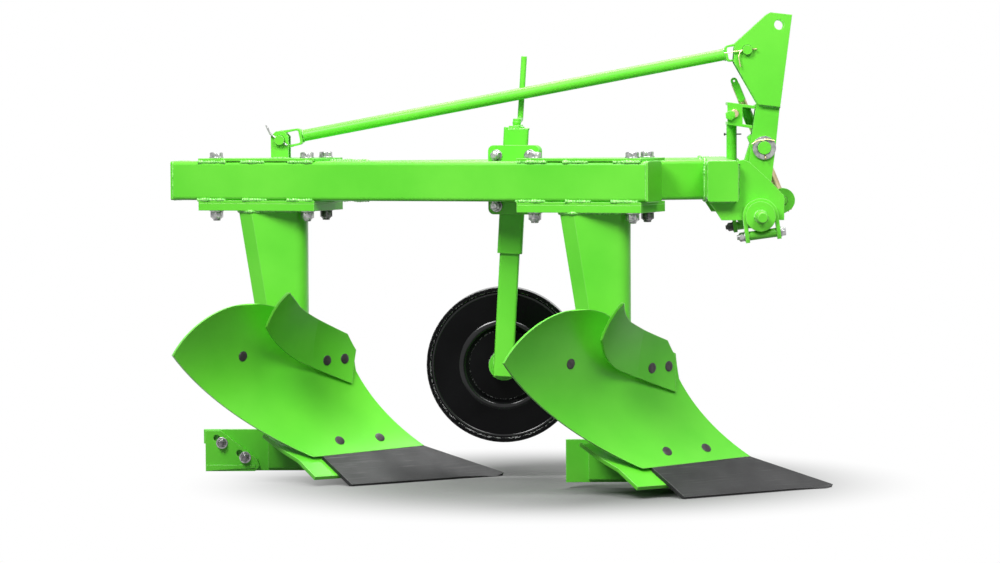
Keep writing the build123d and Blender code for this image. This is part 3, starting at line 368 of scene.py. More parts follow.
def lathe(shape, place, direction, profile, radiusAt=None, segments=24):
    # rings of (radius, distance along direction); radius 0 closes the end
    direction = direction.normalized()
    first, second = axes(direction)
    points, faces, rings = [], [], []
    for radius, along in profile:
        centre = place + direction * along
        if radius == 0:
            rings.append([len(points)])
            points.append(centre)
            continue
        rings.append(list(range(len(points), len(points) + segments)))
        for step in range(segments):
            angle = 2 * math.pi * step / segments
            reach = min(radius, radiusAt(angle)) if radiusAt else radius
            points.append(centre + (first * math.cos(angle) + second * math.sin(angle)) * reach)
    for before, after in zip(rings, rings[1:]):
        for step in range(segments):
            nextStep = (step + 1) % segments
            if len(before) == 1:
                faces.append([before[0], after[nextStep], after[step]])
            elif len(after) == 1:
                faces.append([before[step], before[nextStep], after[0]])
            else:
                faces.append([before[step], before[nextStep], after[nextStep], after[step]])
    shape.add(points, [face[::-1] for face in faces])


# shares of a bolt's own size, and lengths in metres
boltForm = {"flatPart": 0.97, "chamfer": 0.5, "pitch": 0.0018, "threadRoot": 0.9, "threadTip": 0.86,
            "washerEdge": 0.0004, "crown": 0.4, "crownSunk": 0.0004, "crownHigh": 0.0007,
            "collarFoot": 0.42, "collarTop": 0.4, "collarSunk": 0.0005}


def hexPrism(shape, place, direction, acrossFlats, height, turn=0.0, bottomChamfer=False):
    # hexagon with its corners chamfered round at the outer end, and at both ends for a nut
    half = acrossFlats / 2

    def flatReach(angle):
        folded = (angle + turn) % (math.pi / 3) - math.pi / 6
        return half / math.cos(folded)

    corner = half / math.cos(math.pi / 6)
    flatPart = half * boltForm["flatPart"]
    drop = (corner - flatPart) * boltForm["chamfer"]
    base = [(0, 0), (flatPart, 0), (corner, drop)] if bottomChamfer else [(0, 0), (corner, 0)]
    lathe(shape, place, direction, base + [(corner, height - drop), (flatPart, height), (0, height)],
          radiusAt=flatReach, segments=48)


def threadEnd(shape, place, direction, radius, length):
    # bolt end with rings of thread and a chamfered tip
    pitch, root = boltForm["pitch"], radius * boltForm["threadRoot"]
    profile, along = [(0, 0), (radius, 0)], 0.0
    while along < length - 1.5 * pitch:
        profile += [(radius, along + 0.15 * pitch), (root, along + 0.5 * pitch),
                    (radius, along + 0.85 * pitch)]
        along += pitch
    profile += [(radius * boltForm["threadTip"], length), (0, length)]
    lathe(shape, place, direction, profile)


def disc(shape, place, direction, radius, thick, edge=boltForm["washerEdge"]):
    profile = [(0, 0), (radius, 0), (radius, thick - edge), (radius - edge, thick), (0, thick)]
    lathe(shape, place, direction, profile, segments=32)


def boltHead(shape, place, direction, bolt, turn=0.0):
    disc(shape, place, direction, bolt["washer"], bolt["washerThick"])
    top = place + direction * bolt["washerThick"]
    hexPrism(shape, top, direction, bolt["flats"], bolt["head"], turn)
    disc(shape, top + direction * (bolt["head"] - boltForm["crownSunk"]), direction,
         bolt["flats"] * boltForm["crown"], boltForm["crownHigh"])


def nutAndEnd(shape, place, direction, bolt, turn=0.0):
    disc(shape, place, direction, bolt["washer"], bolt["washerThick"])
    top = place + direction * bolt["washerThick"]
    hexPrism(shape, top, direction, bolt["flats"], bolt["nut"], turn, bottomChamfer=True)
    lathe(shape, top + direction * (bolt["nut"] - boltForm["collarSunk"]), direction,
          [(bolt["flats"] * boltForm["collarFoot"], 0),
           (bolt["flats"] * boltForm["collarTop"], bolt["collar"]), (bolt["shank"], bolt["collar"])])
    threadEnd(shape, top, direction, bolt["shank"], bolt["nut"] + bolt["tail"])


def tube(shape, path, radius, segments=8, closed=False, swell=None):
    # round bar along a path of points, its radius changed by swell(distance)
    path = [Vector(point) for point in path]
    count = len(path)
    points, faces = [], []
    first = None
    travelled = 0.0
    for index, place in enumerate(path):
        before = path[index - 1] if index or closed else place
        after = path[(index + 1) % count] if index < count - 1 or closed else place
        direction = (after - before).normalized()
        if first is None:
            first = axes(direction)[0]
        first = (first - direction * first.dot(direction)).normalized()
        second = direction.cross(first)
        if index:
            travelled += (place - path[index - 1]).length
        reach = radius * (swell(travelled) if swell else 1.0)
        for step in range(segments):
            angle = 2 * math.pi * step / segments
            points.append(place + (first * math.cos(angle) + second * math.sin(angle)) * reach)
    for index in range(count if closed else count - 1):
        here, there = index * segments, (index + 1) % count * segments
        for step in range(segments):
            nextStep = (step + 1) % segments
            faces.append([here + step, here + nextStep, there + nextStep, there + step])
    if not closed:
        for end, outward in ((0, path[0] - path[1]), (count - 1, path[-1] - path[-2])):
            tip = len(points)
            points.append(path[end] + outward.normalized() * radius * 0.5)
            for step in range(segments):
                pair = [end * segments + step, end * segments + (step + 1) % segments]
                faces.append([tip] + (pair if end else pair[::-1]))
    shape.add(points, faces)


def evenPath(corners, step, closed=False):
    # points every step along straight runs between corners
    corners = [Vector(corner) for corner in corners]
    runs = list(zip(corners, corners[1:] + corners[:1])) if closed else list(zip(corners, corners[1:]))
    path = []
    for start, end in runs:
        parts = max(1, round((end - start).length / step))
        path += [start.lerp(end, index / parts) for index in range(parts)]
    return path if closed else path + [corners[-1]]


weldBead = {"step": 0.0015, "ripple": 0.0058, "depth": 0.42, "wander": 0.3, "quickWave": 210, "slowWave": 87,
            "phases": 6, "segments": 7}


def weld(shape, corners, radius, closed=False):
    # ripples like overlapping scales, with a slow wander in width
    phase = random.random() * weldBead["phases"]
    path = evenPath(corners, weldBead["step"], closed)

    def swell(distance):
        scale = (distance / weldBead["ripple"] + phase) % 1.0
        slow = (math.sin(distance * weldBead["quickWave"] + phase)
                + math.sin(distance * weldBead["slowWave"] + 2 * phase))
        return 1 + weldBead["depth"] * (0.5 - scale) + weldBead["wander"] * slow / 2

    tube(shape, path, radius, weldBead["segments"], closed, swell)


def ring(centre, direction, radius, count=40):
    first, second = axes(direction)
    angles = [2 * math.pi * step / count for step in range(count)]
    return [centre + (first * math.cos(angle) + second * math.sin(angle)) * radius for angle in angles]


def faceTree(node):
    mesh = frame["nodes"][node].data
    corners = [vertex.co.copy() for vertex in mesh.vertices]
    return BVHTree.FromPolygons(corners, [list(face.vertices) for face in mesh.polygons])


# leg plate bolts: three to a body, the third one beside the beam
legBolt = {"flats": 0.024, "head": 0.0095, "nut": 0.013, "washer": 0.0148, "washerThick": 0.0025,
           "shank": 0.008, "tail": 0.006, "collar": 0.0025, "headTurn": 0.3, "nutTurn": 0.9,
           "nutTurnStep": 0.7}
legBodies = {"rear": -0.32775, "front": 0.37725}     # plates' middles, along the beam from its own middle
legBoltPlaces = ((-0.103, -0.012), (0.103, -0.012), (0.0965, 0.0925))     # along the beam, and to its left
for name, plateMiddle in legBodies.items():
    shape, shadedNutShape = Shape(), Shape()
    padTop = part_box(name + "_pads")[1].z - beamMiddle.z
    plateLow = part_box(name + "_leg_plate")[0].z - beamMiddle.z
    for count, (along, aside) in enumerate(legBoltPlaces):
        top = onBeam(plateMiddle + along, aside, padTop)
        bottom = onBeam(plateMiddle + along, aside, plateLow)
        besideBeam = aside > halfBeam
        boltHead(shape, top, up, legBolt, legBolt["headTurn"] + count)
        # the nut beside the beam, behind it and away from the lamps, goes to its own piece in the darker
        # zinc: painted shade
        nutAndEnd(shadedNutShape if besideBeam else shape, bottom, -up, legBolt,
                  legBolt["nutTurn"] + legBolt["nutTurnStep"] * count)
        if besideBeam:
            lathe(shape, bottom, up, [(legBolt["shank"], 0), (legBolt["shank"], (top - bottom).length)])
    finishPiece(shape, name + "LegBolts", zincPlate, "frame")
    finishPiece(shadedNutShape, name + "FarNut", darkZinc, "frame")
print("leg bolts made")

# clamp bolts of the depth wheel's arm, above and below the beam
clampBolt = {"flats": 0.018, "head": 0.0075, "nut": 0.0095, "washer": 0.0122, "washerThick": 0.0025,
             "shank": 0.006, "tail": 0.004, "collar": 0.002, "spread": 0.0365, "rise": 0.0503, "lower": 0.002,
             "plateThick": 0.016, "nutTurn": 0.4, "headTurn": 0.2}
washerCover = 0.0002                     # how far a bright washer stands over the bolt's own
clampMiddle = middle("wheel_clamp_plate")
clampAlong = (clampMiddle - beamMiddle).dot(ahead)
clampRise = clampMiddle.z - beamMiddle.z - clampBolt["lower"]


def coverWasher(shape, place, direction, bolt):
    disc(shape, place, direction, bolt["washer"] + washerCover, bolt["washerThick"] + washerCover)


shape, washers = Shape(), Shape()
for side in (-1, 1):
    for high in (-1, 1):
        place = onBeam(clampAlong + side * clampBolt["spread"], halfBeam,
                       clampRise + high * clampBolt["rise"])
        nutAndEnd(shape, place, -beamLeft, clampBolt, clampBolt["nutTurn"] + side + high)
        coverWasher(washers, place, -beamLeft, clampBolt)
        boltHead(shape, place + beamLeft * clampBolt["plateThick"], beamLeft, clampBolt,
                 clampBolt["headTurn"] * side)
finishPiece(shape, "clampBolts", zincPlate, "frame")
finishPiece(washers, "clampWashers", zincPlate, "frame")
print("clamp bolts made")

# mouldboard and trashboard bolts: low crowned heads in the working face, nuts behind
shareLine = level(35)
furrow = level(-55)
bodyMark = {"legFront": 0.392, "legNear": 0.006, "legFoot": 0.096}   # leg's corner from the body's own origin
# the crown gives shares of the head's radius and of how proud it stands
ploughBolt = {"radius": 0.0105, "proud": 0.0014, "sunk": 0.001,
              "crown": ((1, 0.6), (0.9, 1), (0.55, 1.25), (0, 1.3)), "flats": 0.017, "nut": 0.009,
              "washer": 0.011, "washerThick": 0.002, "shank": 0.005, "tail": 0.005, "collar": 0.001,
              "nutTurn": 40, "searchFront": 0.6, "searchBack": 0.2}
boardBolts = {"mouldboard": ((-0.497, 0.256), (-0.295, 0.078), (-0.197, 0.079)),
              "trashboard": ((-0.290, 0.238), (-0.243, 0.239))}         # along the share's line, and height


def bodyOrigin(name):
    low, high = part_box(name + "_leg")
    return Vector((high.x + bodyMark["legFront"], low.y - bodyMark["legNear"], low.z - bodyMark["legFoot"]))


for name in legBodies:
    heads, nuts = Shape(), Shape()
    origin = bodyOrigin(name)
    back = faceTree(name + "_mouldboard")
    for board, places in boardBolts.items():
        skin = faceTree(name + "_" + board)
        for along, high in places:
            start = origin + shareLine * along + furrow * ploughBolt["searchFront"] + up * high
            spot, normal = skin.ray_cast(start, -furrow)[:2]
            normal = normal if normal.dot(furrow) > 0 else -normal
            crown = [(ploughBolt["radius"] * wide, ploughBolt["sunk"] + ploughBolt["proud"] * tall)
                     for wide, tall in ploughBolt["crown"]]
            lathe(heads, spot - normal * ploughBolt["sunk"], normal, [(ploughBolt["radius"], 0)] + crown,
                  segments=32)
            rear = back.ray_cast(spot - normal * ploughBolt["searchBack"], normal)[0]
            if rear:
                nutAndEnd(nuts, rear, -normal, ploughBolt, along * ploughBolt["nutTurn"])
    finishPiece(heads, name + "BoardBolts", blackOxide, "frame")
    finishPiece(nuts, name + "BoardNuts", zincPlate, "frame")
print("board bolts made")

# heel plate bolts, in their slots; places from the plate's lower rear corner
heelBolt = {"flats": 0.017, "head": 0.007, "nut": 0.0085, "washer": 0.0118, "washerThick": 0.0025,
            "shank": 0.0058, "tail": 0.004, "collar": 0.0015, "places": ((0.034, 0.0585), (0.0815, 0.0285)),
            "nutTurn": 30, "headTurn": 50}
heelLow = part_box("rear_heel_plate")[0]
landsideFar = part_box("rear_landside")[1].y
shape, washers = Shape(), Shape()
for slotX, slotZ in heelBolt["places"]:
    place = Vector((heelLow.x + slotX, heelLow.y, heelLow.z + slotZ))
    nutAndEnd(shape, place, -across, heelBolt, slotX * heelBolt["nutTurn"])
    coverWasher(washers, place, -across, heelBolt)
    boltHead(shape, Vector((place.x, landsideFar, place.z)), across, heelBolt, slotX * heelBolt["headTurn"])
finishPiece(shape, "heelBolts", darkZinc, "frame")
finishPiece(washers, "heelWashers", zincPlate, "frame")

# wear strip welded along the heel plate's foot, its lower edge rising to the front
wearStrip = {"start": (0.001, -0.002, 0.0005), "long": 0.101, "thick": 0.003, "high": 0.0125, "slope": 0.006}
stripLow = heelLow + Vector(wearStrip["start"])
corners = [stripLow + Vector((x * wearStrip["long"], y * wearStrip["thick"],
                              z * wearStrip["high"] + wearStrip["slope"] * x * (1 - z)))
           for z in (0, 1) for x, y in ((0, 0), (1, 0), (1, 1), (0, 1))]
shape = Shape()
shape.add(corners, [[3, 2, 1, 0], [4, 5, 6, 7], [0, 1, 5, 4], [1, 2, 6, 5], [2, 3, 7, 6], [3, 0, 4, 7]])
finishPiece(shape, "heelWearStrip", greenEnamel, "frame")
print("heel made")

# clamp bolts under the hitch pins' straps
strapBolt = {"flats": 0.016, "head": 0.008, "nut": 0.009, "washer": 0.010, "washerThick": 0.002,
             "shank": 0.005, "tail": 0.005, "collar": 0.002, "outer": 0.035, "drop": 0.0355, "lean": 7.6,
             "nutTurn": 0.5, "headTurn": 0.2}
hitchAxis = middle("near_hitch_pin")
strapLean = math.radians(strapBolt["lean"])
strapAlong = Vector((math.cos(strapLean), 0, math.sin(strapLean)))
strapUp = Vector((-math.sin(strapLean), 0, math.cos(strapLean)))
# the far strap's bolt, on the side away from the lamps, is drawn in dark black oxide where the near one is
# zinc: painted shade
for name, finish in (("near", zincPlate), ("far", blackOxide)):
    shape = Shape()
    centre = Vector((hitchAxis.x, middle(name + "_strap").y, hitchAxis.z)) - strapUp * strapBolt["drop"]
    nutAndEnd(shape, centre - strapAlong * strapBolt["outer"], -strapAlong, strapBolt, strapBolt["nutTurn"])
    boltHead(shape, centre + strapAlong * strapBolt["outer"], strapAlong, strapBolt, strapBolt["headTurn"])
    finishPiece(shape, name + "StrapBolt", finish, "frame")

# split pins: how deep each stands in its pin's end, and the bends of its two opened legs
splitPins = {
    "mast_pin": {"inset": 0.006, "along": (-0.1, 0, 1), "wire": 0.0016, "reach": 0.0165,
                 "legs": (((-0.012, -0.001, -0.002), (-0.024, -0.001, -0.0085)),
                          ((0.008, -0.001, 0.001), (0.022, -0.001, -0.002)))},
    "brace_front_pin": {"inset": 0.0045, "along": (-1, 0, -0.1), "wire": 0.00128, "reach": 0.0135,
                        "legs": (((-0.012, -0.001, -0.002), (-0.033, 0.004, -0.005)),
                                 ((-0.005, -0.002, -0.012), (-0.001, -0.003, -0.033)))},
    "brace_rear_pin": {"inset": 0.0045, "along": (-0.75, 0, 0.5), "wire": 0.0016, "reach": 0.0125,
                       "legs": (((-0.01, -0.002, 0.009), (-0.0165, -0.004, 0.0235)),
                                ((-0.009, -0.002, 0.006), (-0.0125, -0.004, 0.0185)))},
    "hitch_lever": {"inset": 0.002, "along": (0.5, 0, -0.9), "wire": 0.0012, "reach": 0.012,
                    "legs": (((0.004, 0, -0.008), (0.008, 0, -0.014)),
                             ((0.007, 0, -0.004), (0.014, 0, -0.009)))},
}
splitEye = {"back": 2.6, "radius": 2.4}                   # in wire radii


def bendPin(shape, centre, outward, pin):
    # eye on one side of the pin's end, two legs opened on the other
    along, wire = Vector(pin["along"]).normalized(), pin["wire"]
    eye, mouth = centre - along * pin["reach"], centre + along * pin["reach"]
    angles = [math.pi * step / 8 for step in range(-6, 7)]
    tube(shape, [eye - along * wire * splitEye["back"]
                 + (along * math.cos(angle) + outward * math.sin(angle)) * wire * splitEye["radius"]
                 for angle in angles], wire)
    for leg in pin["legs"]:
        path = [eye, mouth] + [mouth + Vector(step) for step in leg]
        smooth = []
        for before, bend, after in zip(path, path[1:], path[2:]):
            smooth += [bend.lerp(before, 0.25), bend.lerp(before, 0.1).lerp(bend.lerp(after, 0.1), 0.5),
                       bend.lerp(after, 0.25)]
        tube(shape, [path[0]] + smooth + [path[-1]], wire)


def splitNear(shape, node):
    pin, centre = splitPins[node], middle(node)
    bendPin(shape, Vector((centre.x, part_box(node)[0].y + pin["inset"], centre.z)), -across, pin)


shape = Shape()
splitNear(shape, "mast_pin")
splitNear(shape, "brace_front_pin")
finishPiece(shape, "mastCotters", yellowZinc, "frame")

mastWasher = {"inner": 0.0136, "outer": 0.0239, "thick": 0.004, "cover": 0.0004, "gap": 0.0002}
mastPin = middle("mast_pin")
shape = Shape()
for outward, arm in ((-across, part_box("near_mast_arm")[0].y), (across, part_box("far_mast_arm")[1].y)):
    thick, outer = mastWasher["thick"] + mastWasher["cover"], mastWasher["outer"]
    lathe(shape, Vector((mastPin.x, arm, mastPin.z)), outward,
          [(outer, mastWasher["gap"]), (outer, thick), (mastWasher["inner"], thick)], segments=40)
finishPiece(shape, "mastWashers", zincPlate, "frame")

shape = Shape()
splitNear(shape, "brace_rear_pin")
finishPiece(shape, "braceCotter", zincPlate, "frame")

leverLow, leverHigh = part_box("hitch_lever")
leverTip = 0.025                         # radius of the lever's round end
leverEye = Vector((leverHigh.x - leverTip, leverHigh.y, leverHigh.z - leverTip))
shape = Shape()
bendPin(shape, leverEye - across * splitPins["hitch_lever"]["inset"], across, splitPins["hitch_lever"])
finishPiece(shape, "leverCotter", yellowZinc, "cross_shaft")

# rings of painted shade in the gaps where the pins stand in their plates
pinJoint = {"radius": 0.0007, "gap": 0.0003, "leverPin": 0.009, "leverHead": 0.004}


def shadeRing(shape, centre, pinRadius):
    tube(shape, ring(centre, across, pinRadius + pinJoint["gap"]), pinJoint["radius"], segments=6,
         closed=True)


shape = Shape()
for node, face in (("brace_front_pin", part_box("near_mast_plate")[0].y),
                   ("brace_rear_pin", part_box("brace_clevis")[0].y),
                   ("mast_pin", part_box("near_mast_arm")[0].y - mastWasher["thick"])):
    pin, (pinLow, pinHigh) = middle(node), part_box(node)
    shadeRing(shape, Vector((pin.x, face, pin.z)),
              mastWasher["inner"] if node == "mast_pin" else (pinHigh.x - pinLow.x) / 2)
finishPiece(shape, "pinJointShade", jointShade, "frame", sharpAngle=60)
shape = Shape()
shadeRing(shape, Vector((leverEye.x, leverLow.y + pinJoint["leverHead"], leverEye.z)), pinJoint["leverPin"])
finishPiece(shape, "leverPinShade", jointShade, "cross_shaft", sharpAngle=60)
print("headstock pins made")

# screw bracket: trunnion pin and its lock nut
trunnion = {"ahead": 0.0145, "low": 0.0235, "shank": 0.0088, "proud": 0.0065, "edge": 0.0015, "flats": 0.019,
            "nut": 0.008, "nutAside": (-0.0085, -0.001, -0.0035), "nutTurn": 0.4}
bracketLow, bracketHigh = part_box("screw_bracket")
trunnionPlace = Vector((bracketLow.x + trunnion["ahead"], bracketLow.y, bracketHigh.z - trunnion["low"]))
shape = Shape()
disc(shape, trunnionPlace, -across, trunnion["shank"], trunnion["proud"], trunnion["edge"])
finishPiece(shape, "trunnionPin", yellowZinc, "frame")
shape = Shape()
hexPrism(shape, trunnionPlace + Vector(trunnion["nutAside"]), -across, trunnion["flats"], trunnion["nut"],
         trunnion["nutTurn"])
finishPiece(shape, "trunnionLockNut", greenEnamel, "frame")

# cross pin through the strut's tube
crossPin = {"below": 0.020, "back": 0.0155, "front": 0.02, "wire": 0.0014, "headBack": 0.013, "head": 0.003,
            "headThick": 0.003, "headEdge": 0.0006}
strut = middle("screw_strut")
strutPin = Vector((strut.x, strut.y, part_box("screw_strut")[1].z - crossPin["below"]))
shape = Shape()
tube(shape, [strutPin - travel * crossPin["back"], strutPin + travel * crossPin["front"]],
     crossPin["wire"], segments=10)
disc(shape, strutPin - travel * crossPin["headBack"], -travel, crossPin["head"], crossPin["headThick"],
     crossPin["headEdge"])
finishPiece(shape, "strutPin", blackOxide, "frame")

# thread on the adjusting screw, and the paint above it; distances along the screw from its foot
screwTip = {"behind": 0.0078, "below": 0.0025}
screwThread = {"crest": 0.0083, "root": 0.0079, "pitch": 0.003, "rise": 0.0009, "flat": 0.0016,
               "fall": 0.0025, "from": 0.1, "to": 0.222}
screwPaint = {"foot": 0.0078, "radius": 0.0082, "lip": 0.001, "bareTip": 0.004}
screwLow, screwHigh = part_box("screw_rod")
screwFoot = Vector((leverEye.x, (screwLow.y + screwHigh.y) / 2, leverEye.z))
screwTop = Vector((screwLow.x + screwTip["behind"], screwFoot.y, screwHigh.z - screwTip["below"]))
screwWay = (screwTop - screwFoot).normalized()
screwLength = (screwTop - screwFoot).length
profile, along = [], screwThread["from"]
while along < screwThread["to"]:
    profile += [(screwThread["root"], along), (screwThread["crest"], along + screwThread["rise"]),
                (screwThread["crest"], along + screwThread["flat"]),
                (screwThread["root"], along + screwThread["fall"])]
    along += screwThread["pitch"]
shape = Shape()
lathe(shape, screwFoot, screwWay, profile, segments=28)
finishPiece(shape, "screwThread", yellowZinc, "adjusting_screw")
shape = Shape()
lathe(shape, screwFoot, screwWay,
      [(screwPaint["foot"], screwThread["to"]), (screwPaint["radius"], screwThread["to"] + screwPaint["lip"]),
       (screwPaint["radius"], screwLength - screwPaint["bareTip"])], segments=28)
finishPiece(shape, "screwPaint", greenEnamel, "adjusting_screw")
print("adjusting screw made")

# wheel: axle nut and washer on its far side
axleNut = {"washerGap": 0.0005, "washer": 0.02, "washerThick": 0.003, "flats": 0.03, "nutGap": 0.0035,
           "nut": 0.011, "turn": 0.3}
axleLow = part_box("wheel_axle")[0]
axleMiddle = middle("wheel_axle")
wheelLow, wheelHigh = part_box("depth_wheel")
shape = Shape()
disc(shape, Vector((axleMiddle.x, wheelHigh.y + axleNut["washerGap"], axleMiddle.z)), across,
     axleNut["washer"], axleNut["washerThick"])
hexPrism(shape, Vector((axleMiddle.x, wheelHigh.y + axleNut["nutGap"], axleMiddle.z)), across,
         axleNut["flats"], axleNut["nut"], axleNut["turn"], bottomChamfer=True)
finishPiece(shape, "axleNut", zincPlate, "wheel_arm")

# rolled folds of the wheel's pressed dish
wheelFolds = ({"radius": 0.0855, "roll": 0.011, "proud": 0.0022},
              {"radius": 0.1455, "roll": 0.005, "proud": 0.0013})
wheelSkin = faceTree("depth_wheel")
searchNear = 0.1
shape = Shape()
for fold in wheelFolds:
    beside = axleMiddle.x + fold["radius"] + fold["roll"] * 0.5
    dish = wheelSkin.ray_cast(Vector((beside, wheelLow.y - searchNear, axleMiddle.z)), across)[0]
    centre = Vector((axleMiddle.x, dish.y + fold["roll"] - fold["proud"], axleMiddle.z))
    tube(shape, ring(centre, across, fold["radius"], count=96), fold["roll"], segments=12, closed=True)
finishPiece(shape, "wheelFolds", foldEnamel, "wheel", sharpAngle=60)

# knuckle where the crank's rod is bent into its boss, and the washer under it
knuckle = {"radius": 0.0088, "above": 0.0082, "washer": 0.0135, "washerThick": 0.0022, "washerAbove": 0.0012,
           "washerLean": 9.0}
wheelArmTube = {"lean": 3.36, "half": 0.025}
armLean = math.radians(wheelArmTube["lean"])
armWay = Vector((math.sin(armLean), 0, math.cos(armLean)))
outerLow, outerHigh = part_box("wheel_outer_tube")
crankFoot = Vector((outerHigh.x - wheelArmTube["half"], (outerLow.y + outerHigh.y) / 2, outerHigh.z))
crankFoot = crankFoot + armWay * knuckle["above"]
lump = [(knuckle["radius"] * math.cos(math.radians(angle)), knuckle["radius"] * math.sin(math.radians(angle)))
        for angle in range(-60, 61, 20)]
washerWay = Matrix.Rotation(math.radians(-knuckle["washerLean"]), 3, "Y") @ armWay
shape = Shape()
lathe(shape, crankFoot, armWay, [(0, -knuckle["radius"])] + lump + [(0, knuckle["radius"])])
disc(shape, crankFoot - armWay * (knuckle["above"] - knuckle["washerAbove"]), washerWay, knuckle["washer"],
     knuckle["washerThick"])
finishPiece(shape, "crankKnuckle", greenEnamel, "frame", sharpAngle=60)
print("wheel dressed")

# welds: one piece on each body, and the radius of the bead in each place
welds = {"frame": Shape(), "wheel_arm": Shape(), "cross_shaft": Shape()}
bead = {"padNear": 0.0038, "padFar": 0.004, "leg": 0.0034, "beamTube": 0.0036, "endCap": 0.0013,
        "headstock": 0.0036, "headstockFoot": 0.003, "mastFoot": 0.0032, "mastPlate": 0.0028, "shelf": 0.003,
        "clevis": 0.0026, "braceEye": 0.002, "gusset": 0.0024, "axleFlange": 0.0022, "tubeCap": 0.0022,
        "stay": 0.0025, "pinShoulder": 0.0022, "leverCheek": 0.0026, "crankCheek": 0.003}


def layWeld(kind, corners, closed=False, body="frame"):
    weld(welds[body], corners, bead[kind], closed)


# stitches along the pads' near and far edges, above and below the beam
stitch = {"runs": ((-0.130, -0.068), (-0.030, 0.023), (0.072, 0.128)), "jitter": 0.004, "nearInset": 0.0022,
          "nearSunk": 0.0012, "farProud": 0.001, "farSunk": 0.001}
for plateMiddle in legBodies.values():
    for start, end in stitch["runs"]:
        for side in (1, -1):
            jitter = random.uniform(-stitch["jitter"], stitch["jitter"])
            aside, rise = stitch["nearInset"] - halfBeam, side * (halfBeam - stitch["nearSunk"])
            layWeld("padNear", [onBeam(plateMiddle + along + jitter, aside, rise) for along in (start, end)])
            aside, rise = halfBeam + stitch["farProud"], side * (halfBeam - stitch["farSunk"])
            layWeld("padFar", [onBeam(plateMiddle + along, aside, rise) for along in (start, end)])

# legs under their plates and on their frogs, round the leg's own section
legSection = {"bevel": 0.027, "bevelDeep": 0.018, "rake": 0.071, "nose": 0.026, "bite": 0.001}
bevel, nose = legSection["bevel"], legSection["nose"]
for name in legBodies:
    low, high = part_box(name + "_leg")
    for height, back in ((high.z - legSection["bite"], low.x),
                         (low.z + legSection["bite"], low.x + legSection["rake"])):
        rolled = [(high.x - nose + nose * math.sin(math.radians(turn)),
                   low.y + nose - nose * math.cos(math.radians(turn)), height) for turn in range(0, 91, 15)]
        layWeld("leg", [(back, high.y, height), (back, low.y + legSection["bevelDeep"], height),
                        (back + bevel, low.y, height)] + rolled + [(high.x, high.y, height)], closed=True)


def tubeMeet(point, direction, halfWide, halfHigh, planePoint, planeNormal, corner=0.005):
    # where a level box tube with cut corners meets an upright face: a closed loop of points
    wide = Vector((-direction.y, direction.x, 0))
    section = ((halfWide - corner, halfHigh), (halfWide, halfHigh - corner), (halfWide, corner - halfHigh),
               (halfWide - corner, -halfHigh), (corner - halfWide, -halfHigh), (-halfWide, corner - halfHigh),
               (-halfWide, halfHigh - corner), (corner - halfWide, halfHigh))
    loop = []
    for sideways, rise in section:
        start = point + wide * sideways + up * rise
        loop.append(start + direction * ((planePoint - start).dot(planeNormal) / direction.dot(planeNormal)))
    return loop


# the second beam and the link, between the cross tube's back and the main beam's left side
beamTubes = {"second": {"aside": 0.201, "heading": 18.6, "halfWide": 0.04},
             "link": {"aside": -0.1214, "heading": 20.0, "halfWide": 0.03}}
crossLow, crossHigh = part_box("cross_tube")
crossMiddle = (crossLow + crossHigh) / 2
crossBack = Vector((crossLow.x, crossMiddle.y, crossMiddle.z))
for tubeSize in beamTubes.values():
    point = crossBack + across * tubeSize["aside"]
    direction = level(tubeSize["heading"])
    for face, normal in ((crossBack, travel), (onBeam(0, halfBeam, 0), beamLeft)):
        layWeld("beamTube", tubeMeet(point, direction, tubeSize["halfWide"], halfBeam, face, normal),
                closed=True)

# end caps of the main beam and the cross tube
endCap = {"beamReach": 0.51775, "inset": 0.0004, "crossHalf": 0.0296}
capHigh = halfBeam - endCap["inset"]
for along in (-endCap["beamReach"], endCap["beamReach"]):
    end = onBeam(along, 0, 0)
    layWeld("endCap", tubeMeet(end, ahead, capHigh, capHigh, end, ahead), closed=True)
for y in (crossLow.y, crossHigh.y):
    end = Vector((crossMiddle.x, y, crossMiddle.z))
    layWeld("endCap", tubeMeet(end, across, endCap["crossHalf"], capHigh, end, across), closed=True)

# headstock plates on the cross tube's front face and under it
headstockWeld = {"half": 0.034, "footInset": 0.006}
for name in ("near_headstock_plate", "far_headstock_plate"):
    low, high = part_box(name)
    for y in (low.y, high.y):
        layWeld("headstock", [(crossHigh.x, y, crossMiddle.z - headstockWeld["half"]),
                              (crossHigh.x, y, crossMiddle.z + headstockWeld["half"])])
        layWeld("headstockFoot", [(crossLow.x + headstockWeld["footInset"], y, crossLow.z),
                                  (crossHigh.x - headstockWeld["footInset"], y, crossLow.z)])

# mast: foot lugs on the cross tube, upper plates on the arms, bracket shelves on the near arm
mastWeld = {"footLow": 0.001, "footHigh": 0.033, "plateBack": 0.5415, "plateFront": 0.584,
            "plateBackRise": 0.0042, "plateFrontDrop": 0.0006, "shelfTop": 0.008, "shelfFoot": 0.0035,
            "shelfInset": 0.001, "shelfNear": 0.001, "shelfFar": 0.009}
footLow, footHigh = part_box("mast_foot")
for y in (footLow.y, footHigh.y):
    layWeld("mastFoot", [(crossHigh.x, y, footLow.z + mastWeld["footLow"]),
                         (crossHigh.x, y, crossMiddle.z + mastWeld["footHigh"])])
for node, y in (("near_mast_plate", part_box("near_mast_arm")[0].y),
                ("far_mast_plate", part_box("far_mast_arm")[1].y)):
    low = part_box(node)[0]
    layWeld("mastPlate", [(mastWeld["plateBack"], y, low.z + mastWeld["plateBackRise"]),
                          (mastWeld["plateFront"], y, low.z - mastWeld["plateFrontDrop"])])
shelfX = bracketHigh.x - mastWeld["shelfInset"]
for rise in (bracketHigh.z - mastWeld["shelfTop"], bracketLow.z + mastWeld["shelfFoot"]):
    layWeld("shelf", [(shelfX, bracketLow.y + mastWeld["shelfNear"], rise),
                      (shelfX, bracketLow.y + mastWeld["shelfFar"], rise)])

